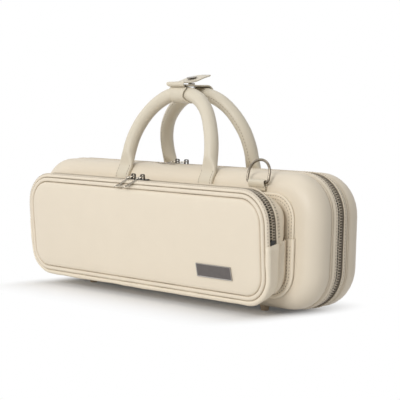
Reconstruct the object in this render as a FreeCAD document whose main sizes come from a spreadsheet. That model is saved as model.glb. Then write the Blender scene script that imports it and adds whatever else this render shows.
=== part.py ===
import FreeCAD, Part
import math
import os

import Sketcher
from FreeCAD import Placement, Rotation, Vector

# Flute case, in millimetres. +X runs along the case to its right end, the front pocket faces -Y and
# +Z is up. The origin lies on the ground, at the middle of the whole object's box.
# Each piece is drawn about the zipper plane, in which the two shells meet, and is then moved
# back by plane_shift. The pocket's panel is drawn upright and then leans forward by pocket_lean.

DRIVING_SIZES = (
    # The two shells
    ("case_length", 425.0),
    ("case_height", 138.0),
    ("corner_radius", 43.5),
    ("lid_depth", 38.0),
    ("back_depth", 38.0),
    ("edge_round", 18.0),
    ("ground_clearance", 4.5),
    ("leather", 1.6),
    ("cover_inset", 1.0),
    ("band_inset", 0.2),
    ("valley_inset", 2.2),
    ("seam_distance", 12.2),
    ("welt_radius", 1.1),
    ("channel_half", 5.0),
    ("board", 2.4),
    ("board_inset", 4.0),
    ("lining", 1.2),
    ("lining_reach", 21.0),
    ("fit_gap", 0.1),
    ("soft_gap", 0.3),
    # Zippers
    ("tape_inset", 2.8),
    ("tape_thickness", 0.7),
    ("tape_width", 3.3),
    ("teeth_width", 3.4),
    ("teeth_height", 2.6),
    ("teeth_half_gap", 0.5),
    ("hinge_half_length", 160.0),
    ("stop_length", 4.0),
    ("slider_length", 13.0),
    ("slider_plate", 1.3),
    ("slider_gap", 0.15),
    ("bridge_length", 5.8),
    ("bridge_width", 1.6),
    ("bridge_wall", 1.0),
    ("bridge_height", 5.2),
    ("pull_length", 24.0),
    ("pull_width", 8.4),
    ("pull_thickness", 1.0),
    ("pull_eye_width", 5.6),
    ("pull_eye_length", 3.6),
    ("pull_bar", 1.1),
    ("pull_hole", 1.4),
    ("pull_turn", 40.0),
    ("pull_droop", 5.0),
    ("pocket_pull_turn", 50.0),
    ("pocket_pull_droop", 11.0),
    ("main_slider_centre", -11.5),
    ("pocket_slider_centre", -6.5),
    ("slider_pitch", 14.0),
    # Inside
    ("pad_thickness", 7.8),
    ("pad_inset", 17.6),
    ("tray_plate", 3.0),
    ("trough_wall", 2.0),
    ("trough_round", 9.0),
    ("body_trough_length", 372.0),
    ("body_trough_width", 30.0),
    ("head_trough_length", 238.0),
    ("foot_trough_length", 130.0),
    ("short_trough_width", 28.0),
    ("trough_start", -190.0),
    ("trough_spacing", 55.0),
    ("trough_divider", 12.0),
    # Feet
    ("foot_half_spacing", 132.0),
    ("foot_distance", 18.0),
    ("foot_low_radius", 4.0),
    ("foot_high_radius", 5.2),
    ("foot_stem_radius", 2.0),
    ("foot_hole_radius", 2.1),
    # Front pocket
    ("flange_length", 371.0),
    ("flange_low", 18.0),
    ("flange_drop", 20.5),
    ("flange_radius", 26.0),
    ("flange_thickness", 2.0),
    ("flange_width", 18.0),
    ("gusset_margin", 6.0),
    ("pocket_length", 364.0),
    ("pocket_drop", 23.0),
    ("pocket_top_radius", 34.0),
    ("pocket_bottom_radius", 30.0),
    ("pocket_foot_depth", 69.1),
    ("pocket_low", 11.0),
    ("pocket_lean", 5.0),
    ("border_inset", 4.7),
    ("border_reach", 9.4),
    ("border_depth", 4.6),
    ("border_round", 1.6),
    ("pocket_band_start", 1.9),
    ("pocket_band_end", 4.8),
    ("pocket_band_round", 2.2),
    ("pocket_tape_inset", 1.9),
    ("pocket_zipper_drop", 49.9),
    ("lower_gusset_drop", 53.6),
    ("panel_pad", 5.4),
    ("panel_board", 2.0),
    ("panel_board_inset", 5.6),
    ("nameplate_length", 48.0),
    ("nameplate_height", 13.5),
    ("nameplate_slant", 2.0),
    ("nameplate_thickness", 1.2),
    ("nameplate_x", 112.0),
    ("nameplate_up", 30.0),
    # Handles
    ("handle_diameter", 15.0),
    ("handle_half_span", 63.5),
    ("handle_lean", 15.0),
    ("strap_half_thickness", 1.0),
    ("flare_low", 3.0),
    ("flare_high", 14.0),
    ("flare_half_width", 9.9),
    ("handle_leg", 2.0),
    ("arch_rise", 67.6),
    ("shoulder_angle", 55.0),
    ("tab_width", 20.0),
    ("tab_thickness", 2.8),
    ("tab_turn", 41.0),
    ("wrap_width", 25.0),
    ("wrap_thickness", 1.6),
    ("wrap_room", 2.3),
    ("wrap_drop", 0.45),
    ("wrap_front_turn", 135.0),
    ("wrap_inner_reach", 5.0),
    ("flap_fold_radius", 6.0),
    ("flap_slope", 11.5),
    ("flap_reach", 39.0),
    ("flap_start_gap", 0.8),
    ("snap_radius", 4.0),
    ("snap_height", 1.4),
    ("snap_cap_radius", 5.5),
    ("snap_cap_height", 0.8),
    # Strap rings
    ("ring_wire_radius", 1.4),
    ("ring_width", 28.2),
    ("ring_corner", 3.5),
    ("ring_side", 5.1),
    ("ring_end_gap", 75.5),
    ("ring_lean", 12.0),
    ("ring_tab_width", 21.0),
    ("ring_tab_thickness", 2.8),
    ("ring_loop_radius", 3.0),
    ("ring_loop_clearance", 0.2),
    ("ring_bar_drop", 11.5),
)

FRONT = 1
BACK = -1
LEFT = -1
RIGHT = 1
TOUCH = 0.001

document = FreeCAD.newDocument("flute_case")
sheet = document.addObject("Spreadsheet::Sheet", "sizes")


class Size:
    """A number together with the sheet formula that it comes from."""

    def __init__(self, number, formula=None):
        self.number = float(number)
        self.formula = formula or repr(float(number))

    def join(self, other, sign, number):
        return Size(number, "(%s %s %s)" % (self.formula, sign, as_size(other).formula))

    def __add__(self, other):
        return self.join(other, "+", self.number + as_size(other).number)

    def __sub__(self, other):
        return self.join(other, "-", self.number - as_size(other).number)

    def __mul__(self, other):
        return self.join(other, "*", self.number * as_size(other).number)

    def __truediv__(self, other):
        return self.join(other, "/", self.number / as_size(other).number)

    def __radd__(self, other):
        return as_size(other) + self

    def __rsub__(self, other):
        return as_size(other) - self

    def __rmul__(self, other):
        return as_size(other) * self

    def __neg__(self):
        return as_size(0) - self


def as_size(value):
    return value if isinstance(value, Size) else Size(value)


def sine(angle):
    number = math.sin(math.radians(angle.number))
    return Size(number, "sin(%s * 1deg)" % angle.formula)


def cosine(angle):
    number = math.cos(math.radians(angle.number))
    return Size(number, "cos(%s * 1deg)" % angle.formula)


def fill_sheet():
    """Write the driving sizes to the sheet and return them by name."""
    named = {}
    for row, (alias, number) in enumerate(DRIVING_SIZES, 1):
        sheet.set("A%d" % row, alias)
        sheet.set("B%d" % row, str(number))
        sheet.setAlias("B%d" % row, alias)
        named[alias] = Size(number, "sizes." + alias)
    document.recompute()
    return named


size = fill_sheet()

# Places that several pieces share
case_low = size["ground_clearance"]
case_high = case_low + size["case_height"]
case_middle = case_low + size["case_height"] / 2
round_height = case_high - size["cover_inset"] - size["edge_round"]
flange_high = case_high - size["flange_drop"]
pocket_height = size["case_height"] - size["pocket_drop"]
pocket_zipper_end = pocket_height - size["pocket_zipper_drop"]
lower_gusset_top = pocket_height - size["lower_gusset_drop"]
ring_x = size["case_length"] / 2 - size["ring_end_gap"]
ring_bar_height = case_high - size["ring_bar_drop"]
teeth_inset = size["tape_inset"] + size["tape_thickness"] / 2
board_front = size["lid_depth"] - size["leather"] - size["fit_gap"]
board_back = size["back_depth"] - size["leather"] - size["fit_gap"]
lining_inset = size["board_inset"] + size["board"] + size["fit_gap"]
tray_inset = lining_inset + size["lining"] + size["fit_gap"]
board_start = size["channel_half"] + 2 * size["fit_gap"]
tape_start = size["teeth_half_gap"] + size["teeth_width"] + size["fit_gap"]
band_end = size["seam_distance"] - size["welt_radius"] - size["fit_gap"]
cover_start = size["seam_distance"] + size["welt_radius"] + size["fit_gap"]
flange_front = size["lid_depth"] + size["flange_thickness"] + size["fit_gap"] / 2
pocket_zipper = size["pocket_band_end"] + size["channel_half"]
pocket_teeth_inset = size["pocket_tape_inset"] + size["tape_thickness"] / 2
pull_reach = size["pull_length"] * sine(size["pocket_pull_turn"])
front_reach = (size["pocket_foot_depth"] + pocket_height * sine(size["pocket_lean"])
               - pocket_zipper + pull_reach + size["pull_width"] / 4)
back_reach = size["back_depth"] + 2 * size["ring_loop_radius"]
plane_shift = (front_reach - back_reach) / 2
tab_radius = size["edge_round"] + size["fit_gap"] + size["tab_thickness"] / 2
pivot_radius = size["edge_round"] + size["fit_gap"] + size["tab_thickness"]
pivot_out = size["lid_depth"] - size["edge_round"] + pivot_radius * cosine(Size(45))
pivot_height = round_height + pivot_radius * sine(Size(45))
arch_top = size["flare_high"] + size["handle_leg"] + size["arch_rise"]
grip_out = pivot_out - arch_top * sine(size["handle_lean"])
grip_height = pivot_height + arch_top * cosine(size["handle_lean"])
ring_bar_out = size["lid_depth"] + size["fit_gap"] + size["ring_loop_radius"]


def bind(target, path, value):
    """Tie a property to its size."""
    target.setExpression(path, as_size(value).formula)


def new_body(label, offset=(0, 0, 0), lean=0):
    """A piece whose own frame stands at `offset` from the zipper plane, leaning forward by `lean`."""
    body = document.addObject("PartDesign::Body", label)
    body.Label = label
    body.Placement = Placement(Vector(0, 0, 0), Rotation(Vector(1, 0, 0), as_size(lean).number))
    bind(body, "Placement.Base.x", offset[0])
    bind(body, "Placement.Base.y", plane_shift + offset[1])
    bind(body, "Placement.Base.z", offset[2])
    bind(body, "Placement.Rotation.Angle", lean)
    return body


def pocket_body(label):
    """A piece of the pocket's panel: drawn with y back from its front plane and z up from its foot."""
    return new_body(label, (0, -size["pocket_foot_depth"], size["pocket_low"]), size["pocket_lean"])


def origin_plane(body, role):
    for feature in body.Origin.OriginFeatures:
        if feature.Role == role:
            return feature
    raise ValueError(role)


def new_sketch(body, role, name, offset=0):
    sketch = body.newObject("Sketcher::SketchObject", name)
    sketch.AttachmentSupport = [(origin_plane(body, role), "")]
    sketch.MapMode = "FlatFace"
    bind(sketch, "AttachmentOffset.Base.z", offset)
    return sketch


def measure(sketch, value, kind, *where):
    """Add a dimension and tie it to its size."""
    value = as_size(value)
    number = math.radians(value.number) if kind == "Angle" else value.number
    index = sketch.addConstraint(Sketcher.Constraint(kind, *where, number))
    sketch.setExpression("Constraints[%d]" % index, value.formula)


def fix_point(sketch, geometry, end, point):
    measure(sketch, point[0], "DistanceX", -1, 1, geometry, end)
    measure(sketch, point[1], "DistanceY", -1, 1, geometry, end)


def polygon(sketch, points):
    """A closed outline of straight lines."""
    points = [(as_size(x), as_size(y)) for x, y in points]
    first = sketch.GeometryCount
    count = len(points)
    for here, there in zip(points, points[1:] + points[:1]):
        start = Vector(here[0].number, here[1].number, 0)
        end = Vector(there[0].number, there[1].number, 0)
        sketch.addGeometry(Part.LineSegment(start, end), False)
    for index in range(count):
        after = first + (index + 1) % count
        sketch.addConstraint(Sketcher.Constraint("Coincident", first + index, 2, after, 1))
        fix_point(sketch, first + index, 1, points[index])


def box_outline(sketch, low, high):
    polygon(sketch, [(low[0], low[1]), (high[0], low[1]), (high[0], high[1]), (low[0], high[1])])


def circle(sketch, centre, radius):
    centre = (as_size(centre[0]), as_size(centre[1]))
    ring = Part.Circle(Vector(centre[0].number, centre[1].number, 0), Vector(0, 0, 1),
                       as_size(radius).number)
    geometry = sketch.addGeometry(ring, False)
    fix_point(sketch, geometry, 3, centre)
    measure(sketch, radius, "Radius", geometry)


def rounded_outline(sketch, low, high, radius, lower_radius=None):
    """A closed rectangle with rounded corners, from its low corner to its high corner."""
    low = [as_size(value) for value in low]
    high = [as_size(value) for value in high]
    radius = as_size(radius)
    lower = radius if lower_radius is None else as_size(lower_radius)
    x0, y0, x1, y1 = low[0].number, low[1].number, high[0].number, high[1].number
    top, bottom = radius.number, lower.number
    first = sketch.GeometryCount
    corners = (
        ((x0 + bottom, y0), (x1 - bottom, y0), (x1 - bottom, y0 + bottom), bottom, -90),
        ((x1, y0 + bottom), (x1, y1 - top), (x1 - top, y1 - top), top, 0),
        ((x1 - top, y1), (x0 + top, y1), (x0 + top, y1 - top), top, 90),
        ((x0, y1 - top), (x0, y0 + bottom), (x0 + bottom, y0 + bottom), bottom, 180),
    )
    for start, end, centre, turn, angle in corners:
        sketch.addGeometry(Part.LineSegment(Vector(*start, 0), Vector(*end, 0)), False)
        arc = Part.Circle(Vector(*centre, 0), Vector(0, 0, 1), turn)
        begin = math.radians(angle)
        sketch.addGeometry(Part.ArcOfCircle(arc, begin, begin + math.pi / 2), False)
    for index in range(8):
        after = first + (index + 1) % 8
        sketch.addConstraint(Sketcher.Constraint("Tangent", first + index, 2, after, 1))
    for line, kind in ((0, "Horizontal"), (2, "Vertical"), (4, "Horizontal"), (6, "Vertical")):
        sketch.addConstraint(Sketcher.Constraint(kind, first + line))
    sketch.addConstraint(Sketcher.Constraint("Equal", first + 1, first + 7))
    sketch.addConstraint(Sketcher.Constraint("Equal", first + 3, first + 5))
    measure(sketch, lower, "Radius", first + 1)
    measure(sketch, radius, "Radius", first + 3)
    measure(sketch, low[1], "DistanceY", -1, 1, first, 1)
    measure(sketch, high[0], "DistanceX", -1, 1, first + 2, 1)
    measure(sketch, high[1], "DistanceY", -1, 1, first + 4, 1)
    measure(sketch, low[0], "DistanceX", -1, 1, first + 6, 1)


def case_outline(sketch, inset):
    """The outline of the shells, drawn in by `inset` all round."""
    half = size["case_length"] / 2 - inset
    rounded_outline(sketch, (-half, case_low + inset), (half, case_high - inset),
                    size["corner_radius"] - inset)


def pocket_outline(sketch, inset):
    """The outline of the pocket's panel, drawn in by `inset` all round."""
    half = size["pocket_length"] / 2 - inset
    inset = as_size(inset)
    rounded_outline(sketch, (-half, inset), (half, pocket_height - inset),
                    size["pocket_top_radius"] - inset, size["pocket_bottom_radius"] - inset)


def smooth_path(sketch, start, heading, moves):
    """Straight runs joined by tangent arcs; each move is (length,) or (radius, turn in degrees)."""
    here = Vector(as_size(start[0]).number, as_size(start[1]).number, 0)
    angle = math.radians(heading)
    last = None
    for move in moves:
        along = Vector(math.cos(angle), math.sin(angle), 0)
        if len(move) == 1:
            there = here + along * as_size(move[0]).number
            geometry = sketch.addGeometry(Part.LineSegment(here, there), False)
            measure(sketch, move[0], "Distance", geometry)
            ends = (1, 2)
        else:
            radius, turn = as_size(move[0]), as_size(move[1])
            left = 1 if turn.number > 0 else -1
            swing = math.radians(turn.number)
            centre = here + Vector(-along.y, along.x, 0) * (radius.number * left)
            begin = math.atan2(here.y - centre.y, here.x - centre.x)
            finish = begin + swing
            ring = Part.Circle(centre, Vector(0, 0, 1), radius.number)
            arc = Part.ArcOfCircle(ring, min(begin, finish), max(begin, finish))
            geometry = sketch.addGeometry(arc, False)
            there = centre + Vector(math.cos(finish), math.sin(finish), 0) * radius.number
            angle += swing
            ends = (1, 2) if left > 0 else (2, 1)
            measure(sketch, radius, "Radius", geometry)
            measure(sketch, turn if left > 0 else -turn, "Angle", geometry)
        if last is None:
            fix_point(sketch, geometry, 1, start)
            level = "Horizontal" if heading % 180 == 0 else "Vertical"
            sketch.addConstraint(Sketcher.Constraint(level, geometry))
        else:
            sketch.addConstraint(Sketcher.Constraint("Tangent", *last, geometry, ends[0]))
        last = (geometry, ends[1])
        here = there


def pad(body, sketch, length, backward=False, centred=False):
    feature = body.newObject("PartDesign::Pad", sketch.Name + "_pad")
    feature.Profile = sketch
    bind(feature, "Length", length)
    feature.Reversed = backward
    feature.SideType = "Symmetric" if centred else "One side"
    return feature


def pocket(body, sketch, length, forward=False, centred=False):
    """Cut against the sketch's normal, or along it where `forward` is set."""
    document.recompute()
    before = body.Shape.Volume
    feature = body.newObject("PartDesign::Pocket", sketch.Name + "_cut")
    feature.Profile = sketch
    bind(feature, "Length", length)
    feature.Reversed = forward
    feature.SideType = "Symmetric" if centred else "One side"
    document.recompute()
    if body.Shape.Volume >= before - TOUCH:
        raise RuntimeError("%s cuts nothing" % feature.Name)
    return feature


def edges_on_plane(shape, axis, place):
    """Names of the edges that lie in the plane where `axis` (0, 1 or 2) has the value `place`."""
    found = []
    for index, edge in enumerate(shape.Edges, 1):
        box = edge.BoundBox
        low = (box.XMin, box.YMin, box.ZMin)[axis]
        high = (box.XMax, box.YMax, box.ZMax)[axis]
        if abs(low - place) < 0.01 and abs(high - place) < 0.01:
            found.append("Edge%d" % index)
    return found


def fillet(body, radius, axis, place, name):
    """Round all the edges that lie in one plane."""
    document.recompute()
    base = body.Tip
    edges = edges_on_plane(base.Shape, axis, as_size(place).number)
    feature = body.newObject("PartDesign::Fillet", name)
    feature.Base = (base, edges)
    bind(feature, "Radius", radius)
    return feature


def pipe(body, profile, path, name):
    feature = body.newObject("PartDesign::AdditivePipe", name)
    feature.Profile = profile
    feature.Spine = (path, [])
    return feature


def loft(body, first, second, name, cut=False):
    kind = "PartDesign::SubtractiveLoft" if cut else "PartDesign::AdditiveLoft"
    feature = body.newObject(kind, name)
    feature.Profile = first
    feature.Sections = [(second, [""])]
    feature.Ruled = True
    return feature


def mirror_left_right(body, features):
    """Repeat features on the other side of the body's own YZ plane."""
    feature = body.newObject("PartDesign::Mirrored", "other_side")
    feature.Originals = features
    feature.MirrorPlane = (origin_plane(body, "YZ_Plane"), [""])
    body.Tip = feature
    return feature


def sheet_outline(body, side, distance, inset, name):
    """The case outline on a plane in front of or behind the zipper plane."""
    sketch = new_sketch(body, "XZ_Plane", name, side * as_size(distance))
    case_outline(sketch, inset)
    return sketch


def case_ring(label, side, inset, wall, start, end):
    """A straight band that follows the case outline between two distances from the zipper plane."""
    body = new_body(label)
    sketch = new_sketch(body, "XZ_Plane", label + "_outline", side * as_size(start))
    case_outline(sketch, inset)
    case_outline(sketch, inset + wall)
    pad(body, sketch, end - start, backward=side == BACK)
    return body


def case_cup(label, side, inset, wall, start, end, rounding):
    """A deep tray of even wall that opens towards the zipper plane, with a rounded far edge."""
    body = new_body(label)
    outer = sheet_outline(body, side, start, inset, label + "_outer")
    pad(body, outer, end - start, backward=side == BACK)
    inner = sheet_outline(body, side, start, inset + wall, label + "_inner")
    pocket(body, inner, end - start - wall, forward=side == FRONT)
    fillet(body, rounding - wall, 1, -side * (end - wall), label + "_inner_round")
    fillet(body, rounding, 1, -side * end, label + "_outer_round")
    return body


def open_bottom(body, half_width):
    """Take away the straight run along the case's bottom, where the zipper isn't sewn."""
    sketch = new_sketch(body, "XZ_Plane", body.Name + "_bottom_run")
    box_outline(sketch, (-half_width, 0), (half_width, case_middle))
    pocket(body, sketch, 2 * size["lid_depth"], centred=True)


def foot_holes(body, side):
    """Holes for the stems of the feet, through the bottom wall."""
    sketch = new_sketch(body, "XY_Plane", body.Name + "_foot_holes", case_low + size["edge_round"] / 2)
    for end in (LEFT, RIGHT):
        circle(sketch, (end * size["foot_half_spacing"], -side * size["foot_distance"]),
               size["foot_hole_radius"])
    pocket(body, sketch, size["edge_round"])


def make_cover(label, side, depth):
    """Padded leather cover of one shell."""
    body = case_cup(label, side, size["cover_inset"], size["leather"], cover_start, depth,
                    size["edge_round"])
    foot_holes(body, side)


def make_side_band(label, side):
    """Leather band beside the zipper, which slopes down to the seam."""
    body = new_body(label)
    rims = []
    for name, distance, inset in (("rim", size["channel_half"], size["band_inset"]),
                                  ("seam", band_end, size["valley_inset"])):
        rims.append(sheet_outline(body, side, distance, inset, label + "_" + name))
        rims.append(sheet_outline(body, side, distance, inset + size["leather"],
                                  label + "_" + name + "_inside"))
    loft(body, rims[0], rims[2], label + "_outside")
    loft(body, rims[1], rims[3], label + "_hollow", cut=True)


def make_welt(label, side):
    """Piping cord sewn into the seam between the band and the cover."""
    body = new_body(label)
    half = size["case_length"] / 2 - size["valley_inset"]
    high = case_high - size["valley_inset"]
    corner = size["corner_radius"] - size["valley_inset"]
    run = 2 * (half - corner)
    upright = size["case_height"] - 2 * size["valley_inset"] - 2 * corner
    path = new_sketch(body, "XZ_Plane", label + "_path", side * size["seam_distance"])
    smooth_path(path, (0, high), 180, [(run / 2,), (corner, 90), (upright,), (corner, 90), (run,),
                                       (corner, 90), (upright,), (corner, 90), (run / 2,)])
    profile = new_sketch(body, "YZ_Plane", label + "_section")
    circle(profile, (-side * size["seam_distance"], high), size["welt_radius"])
    pipe(body, profile, path, label + "_cord")


def make_board(label, side, depth):
    """Stiff moulded shell inside the leather."""
    rounding = size["edge_round"] - (size["board_inset"] - size["cover_inset"])
    body = case_cup(label, side, size["board_inset"], size["board"], board_start, depth, rounding)
    foot_holes(body, side)


def make_main_zipper(half_name, side):
    """Tape and row of teeth on one half of the main zipper."""
    tape = case_ring("main_tape_" + half_name, side, size["tape_inset"], size["tape_thickness"],
                     tape_start, tape_start + size["tape_width"])
    open_bottom(tape, size["hinge_half_length"])
    teeth = case_ring("main_teeth_" + half_name, side, teeth_inset - size["teeth_height"] / 2,
                      size["teeth_height"], size["teeth_half_gap"],
                      size["teeth_half_gap"] + size["teeth_width"])
    open_bottom(teeth, size["hinge_half_length"] + size["stop_length"] + size["fit_gap"])


def make_zipper_stops():
    """Metal end stops of the main zipper, clamped to the back tape at both bottom ends."""
    body = new_body("main_zipper_stops")
    low = case_low + teeth_inset - size["teeth_height"] / 2
    sketch = new_sketch(body, "XY_Plane", "stop_outline", low)
    near = size["hinge_half_length"]
    box_outline(sketch, (near, size["teeth_half_gap"]),
                (near + size["stop_length"], size["teeth_half_gap"] + size["teeth_width"]))
    mirror_left_right(body, [pad(body, sketch, size["teeth_height"])])


def make_hinge_strip():
    """Leather strip along the bottom on which the lid folds open."""
    body = new_body("hinge_strip")
    sketch = new_sketch(body, "XY_Plane", "hinge_outline", case_low + 2 * size["band_inset"])
    half_width = size["channel_half"] - 2 * size["fit_gap"]
    half_length = size["hinge_half_length"] - size["soft_gap"]
    box_outline(sketch, (-half_length, -half_width), (half_length, half_width))
    pad(body, sketch, size["leather"])


def make_feet(label, side):
    """Two moulded feet with stems that pass through the leather and the board."""
    offset = (-size["foot_half_spacing"], -side * size["foot_distance"], 0)
    body = new_body(label, offset)
    cone_height = case_low + size["cover_inset"] - size["fit_gap"] / 2
    cone = body.newObject("PartDesign::AdditiveCone", label + "_cone")
    bind(cone, "Radius1", size["foot_low_radius"])
    bind(cone, "Radius2", size["foot_high_radius"])
    bind(cone, "Height", cone_height)
    stem = body.newObject("PartDesign::AdditiveCylinder", label + "_stem")
    bind(stem, "Radius", size["foot_stem_radius"])
    bind(stem, "Height", case_low + size["board_inset"] + size["board"])
    pair = body.newObject("PartDesign::LinearPattern", label + "_pair")
    pair.Originals = [cone, stem]
    for feature in body.Origin.OriginFeatures:
        if feature.Role == "X_Axis":
            pair.Direction = (feature, [""])
    bind(pair, "Length", 2 * size["foot_half_spacing"])
    pair.Occurrences = 2
    body.Tip = pair


def make_lining(label, side):
    """Plush lining round the inside wall of one shell."""
    case_ring(label, side, lining_inset, size["lining"], board_start, size["lining_reach"])


def make_lid_pad():
    """Padded panel inside the lid."""
    body = new_body("lid_pad")
    back = board_front - size["board"] - size["fit_gap"]
    sketch = sheet_outline(body, FRONT, back - size["pad_thickness"], size["pad_inset"], "pad_outline")
    pad(body, sketch, size["pad_thickness"])


def trough_outline(sketch, start, length, middle, width, grow):
    """One instrument trough seen from the front, grown all round by `grow`."""
    rounded_outline(sketch, (start - grow, middle - width / 2 - grow),
                    (start + length + grow, middle + width / 2 + grow), width / 3 + grow)


def make_flute_tray():
    """Moulded plush tray in the back shell, with a trough for each joint of the flute."""
    body = new_body("flute_tray")
    upper = case_middle + size["trough_spacing"] / 2
    lower = case_middle - size["trough_spacing"] / 2
    foot_start = size["trough_start"] + size["head_trough_length"] + size["trough_divider"]
    troughs = (
        ("body", size["trough_start"], size["body_trough_length"], upper, size["body_trough_width"]),
        ("head", size["trough_start"], size["head_trough_length"], lower, size["short_trough_width"]),
        ("foot", foot_start, size["foot_trough_length"], lower, size["short_trough_width"]),
    )
    plate = sheet_outline(body, BACK, board_start, tray_inset, "tray_plate")
    pad(body, plate, size["tray_plate"], backward=True)
    floor = board_back - size["board"] - size["fit_gap"]
    for name, start, length, middle, width in troughs:
        outer = new_sketch(body, "XZ_Plane", name + "_outer", -(board_start + size["tray_plate"] / 2))
        trough_outline(outer, start, length, middle, width, size["trough_wall"])
        pad(body, outer, floor - board_start - size["tray_plate"] / 2, backward=True)
    for name, start, length, middle, width in troughs:
        inner = new_sketch(body, "XZ_Plane", name + "_inner", -board_start)
        trough_outline(inner, start, length, middle, width, as_size(0))
        pocket(body, inner, floor - board_start - size["trough_wall"])
    fillet(body, size["trough_round"], 1, floor - size["trough_wall"], "inner_floor_round")
    fillet(body, size["trough_round"] + size["trough_wall"] / 2, 1, floor, "outer_floor_round")


def make_handle_tabs(label, side):
    """Two leather tabs that run up over the rounded edge and carry a handle."""
    body = new_body(label)
    start_out = size["lid_depth"] + size["fit_gap"] + size["tab_thickness"] / 2
    low = flange_high + size["soft_gap"]
    profile = new_sketch(body, "XY_Plane", label + "_section", low)
    across = -side * start_out
    near = size["handle_half_span"] - size["tab_width"] / 2
    far = size["handle_half_span"] + size["tab_width"] / 2
    box_outline(profile, (near, across - size["tab_thickness"] / 2),
                (far, across + size["tab_thickness"] / 2))
    path = new_sketch(body, "YZ_Plane", label + "_path", size["handle_half_span"])
    smooth_path(path, (across, low), 90, [(round_height - low,), (tab_radius, -side * size["tab_turn"])])
    mirror_left_right(body, [pipe(body, profile, path, label + "_strip")])


def arch_moves():
    """Legs, shoulders and top arc of a handle, from its half span, rise and shoulder angle."""
    sin_turn = sine(size["shoulder_angle"])
    cos_turn = cosine(size["shoulder_angle"])
    spread = 1 - sin_turn - cos_turn
    half, rise = size["handle_half_span"], size["arch_rise"]
    shoulder = (half * (1 - sin_turn) - rise * cos_turn) / spread
    crown = (rise * (1 - cos_turn) - half * sin_turn) / spread
    leg = size["handle_leg"]
    turn = size["shoulder_angle"]
    return [(leg,), (shoulder, -turn), (crown, 2 * turn - 180), (shoulder, -turn), (leg,)]


def handle_frame(side):
    """Where a handle pivots on its tabs, and how far it leans over the zipper."""
    return (0, -side * pivot_out, pivot_height), -side * size["handle_lean"]


def make_handle(name, side):
    """Rolled leather handle with flattened ends, and the cord core inside it."""
    offset, lean = handle_frame(side)
    body = new_body(name + "_handle", offset, lean)
    start = (-size["handle_half_span"], size["flare_high"])
    path = new_sketch(body, "XZ_Plane", name + "_arch")
    smooth_path(path, start, 90, arch_moves())
    section = new_sketch(body, "XY_Plane", name + "_section", size["flare_high"])
    circle(section, (start[0], 0), size["handle_diameter"] / 2)
    circle(section, (start[0], 0), size["handle_diameter"] / 2 - size["leather"])
    pipe(body, section, path, name + "_roll")
    flat = new_sketch(body, "XY_Plane", name + "_flat_end", size["flare_low"])
    centre = Vector(start[0].number, 0, 0)
    wide = centre + Vector(size["flare_half_width"].number, 0, 0)
    thin = centre + Vector(0, size["strap_half_thickness"].number, 0)
    oval = flat.addGeometry(Part.Ellipse(wide, thin, centre), False)
    flat.exposeInternalGeometry(oval)
    fix_point(flat, oval, 3, (start[0], 0))
    measure(flat, 2 * size["flare_half_width"], "Distance", oval + 1)
    measure(flat, 2 * size["strap_half_thickness"], "Distance", oval + 2)
    flat.addConstraint(Sketcher.Constraint("Horizontal", oval + 1))
    round_end = new_sketch(body, "XY_Plane", name + "_round_end", size["flare_high"])
    circle(round_end, (start[0], 0), size["handle_diameter"] / 2)
    flare = loft(body, flat, round_end, name + "_flare")
    strap = new_sketch(body, "YZ_Plane", name + "_strap", start[0])
    thick = size["strap_half_thickness"]
    rounded_outline(strap, (-thick, -thick), (thick, size["flare_low"] + size["fit_gap"]),
                    thick / 10, thick * 0.96)
    foot = pad(body, strap, 2 * size["flare_half_width"] - 2 * thick, centred=True)
    mirror_left_right(body, [flare, foot])

    core = new_body(name + "_handle_core", offset, lean)
    core_path = new_sketch(core, "XZ_Plane", name + "_core_arch")
    smooth_path(core_path, start, 90, arch_moves())
    core_section = new_sketch(core, "XY_Plane", name + "_core_section", size["flare_high"])
    circle(core_section, (start[0], 0), size["handle_diameter"] / 2 - size["leather"] - size["fit_gap"])
    pipe(core, core_section, core_path, name + "_core")


def strip_along(body, name, start, heading, moves, width, thickness):
    """A flat leather strip bent along a path in the body's YZ plane, centred on x = 0."""
    half = width / 2
    path = new_sketch(body, "YZ_Plane", name + "_path")
    smooth_path(path, start, heading, moves)
    if heading % 180 == 0:
        section = new_sketch(body, "XZ_Plane", name + "_section", -as_size(start[0]))
        box_outline(section, (-half, start[1] - thickness / 2), (half, start[1] + thickness / 2))
    else:
        section = new_sketch(body, "XY_Plane", name + "_section", start[1])
        box_outline(section, (-half, start[0] - thickness / 2), (half, start[0] + thickness / 2))
    pipe(body, section, path, name + "_strip")


# The wrap's strips turn about the two grips, a little below their centres
wrap_radius = size["handle_diameter"] / 2 + size["wrap_room"] - size["wrap_thickness"] / 2 \
    + size["wrap_drop"]
wrap_centre_height = grip_height - size["wrap_drop"]
wrap_floor = wrap_centre_height - wrap_radius
fold_angle = size["wrap_front_turn"] - 90
fold_out = grip_out + wrap_radius * cosine(fold_angle)
fold_height = wrap_centre_height + wrap_radius * sine(fold_angle)
flap_start = (-(fold_out + size["wrap_thickness"] / 2), fold_height + size["flap_start_gap"])
flap_top = flap_start[1] + size["flap_fold_radius"] * cosine(size["flap_slope"])
flap_turn_out = size["flap_fold_radius"] * (1 - sine(size["flap_slope"]))


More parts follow.
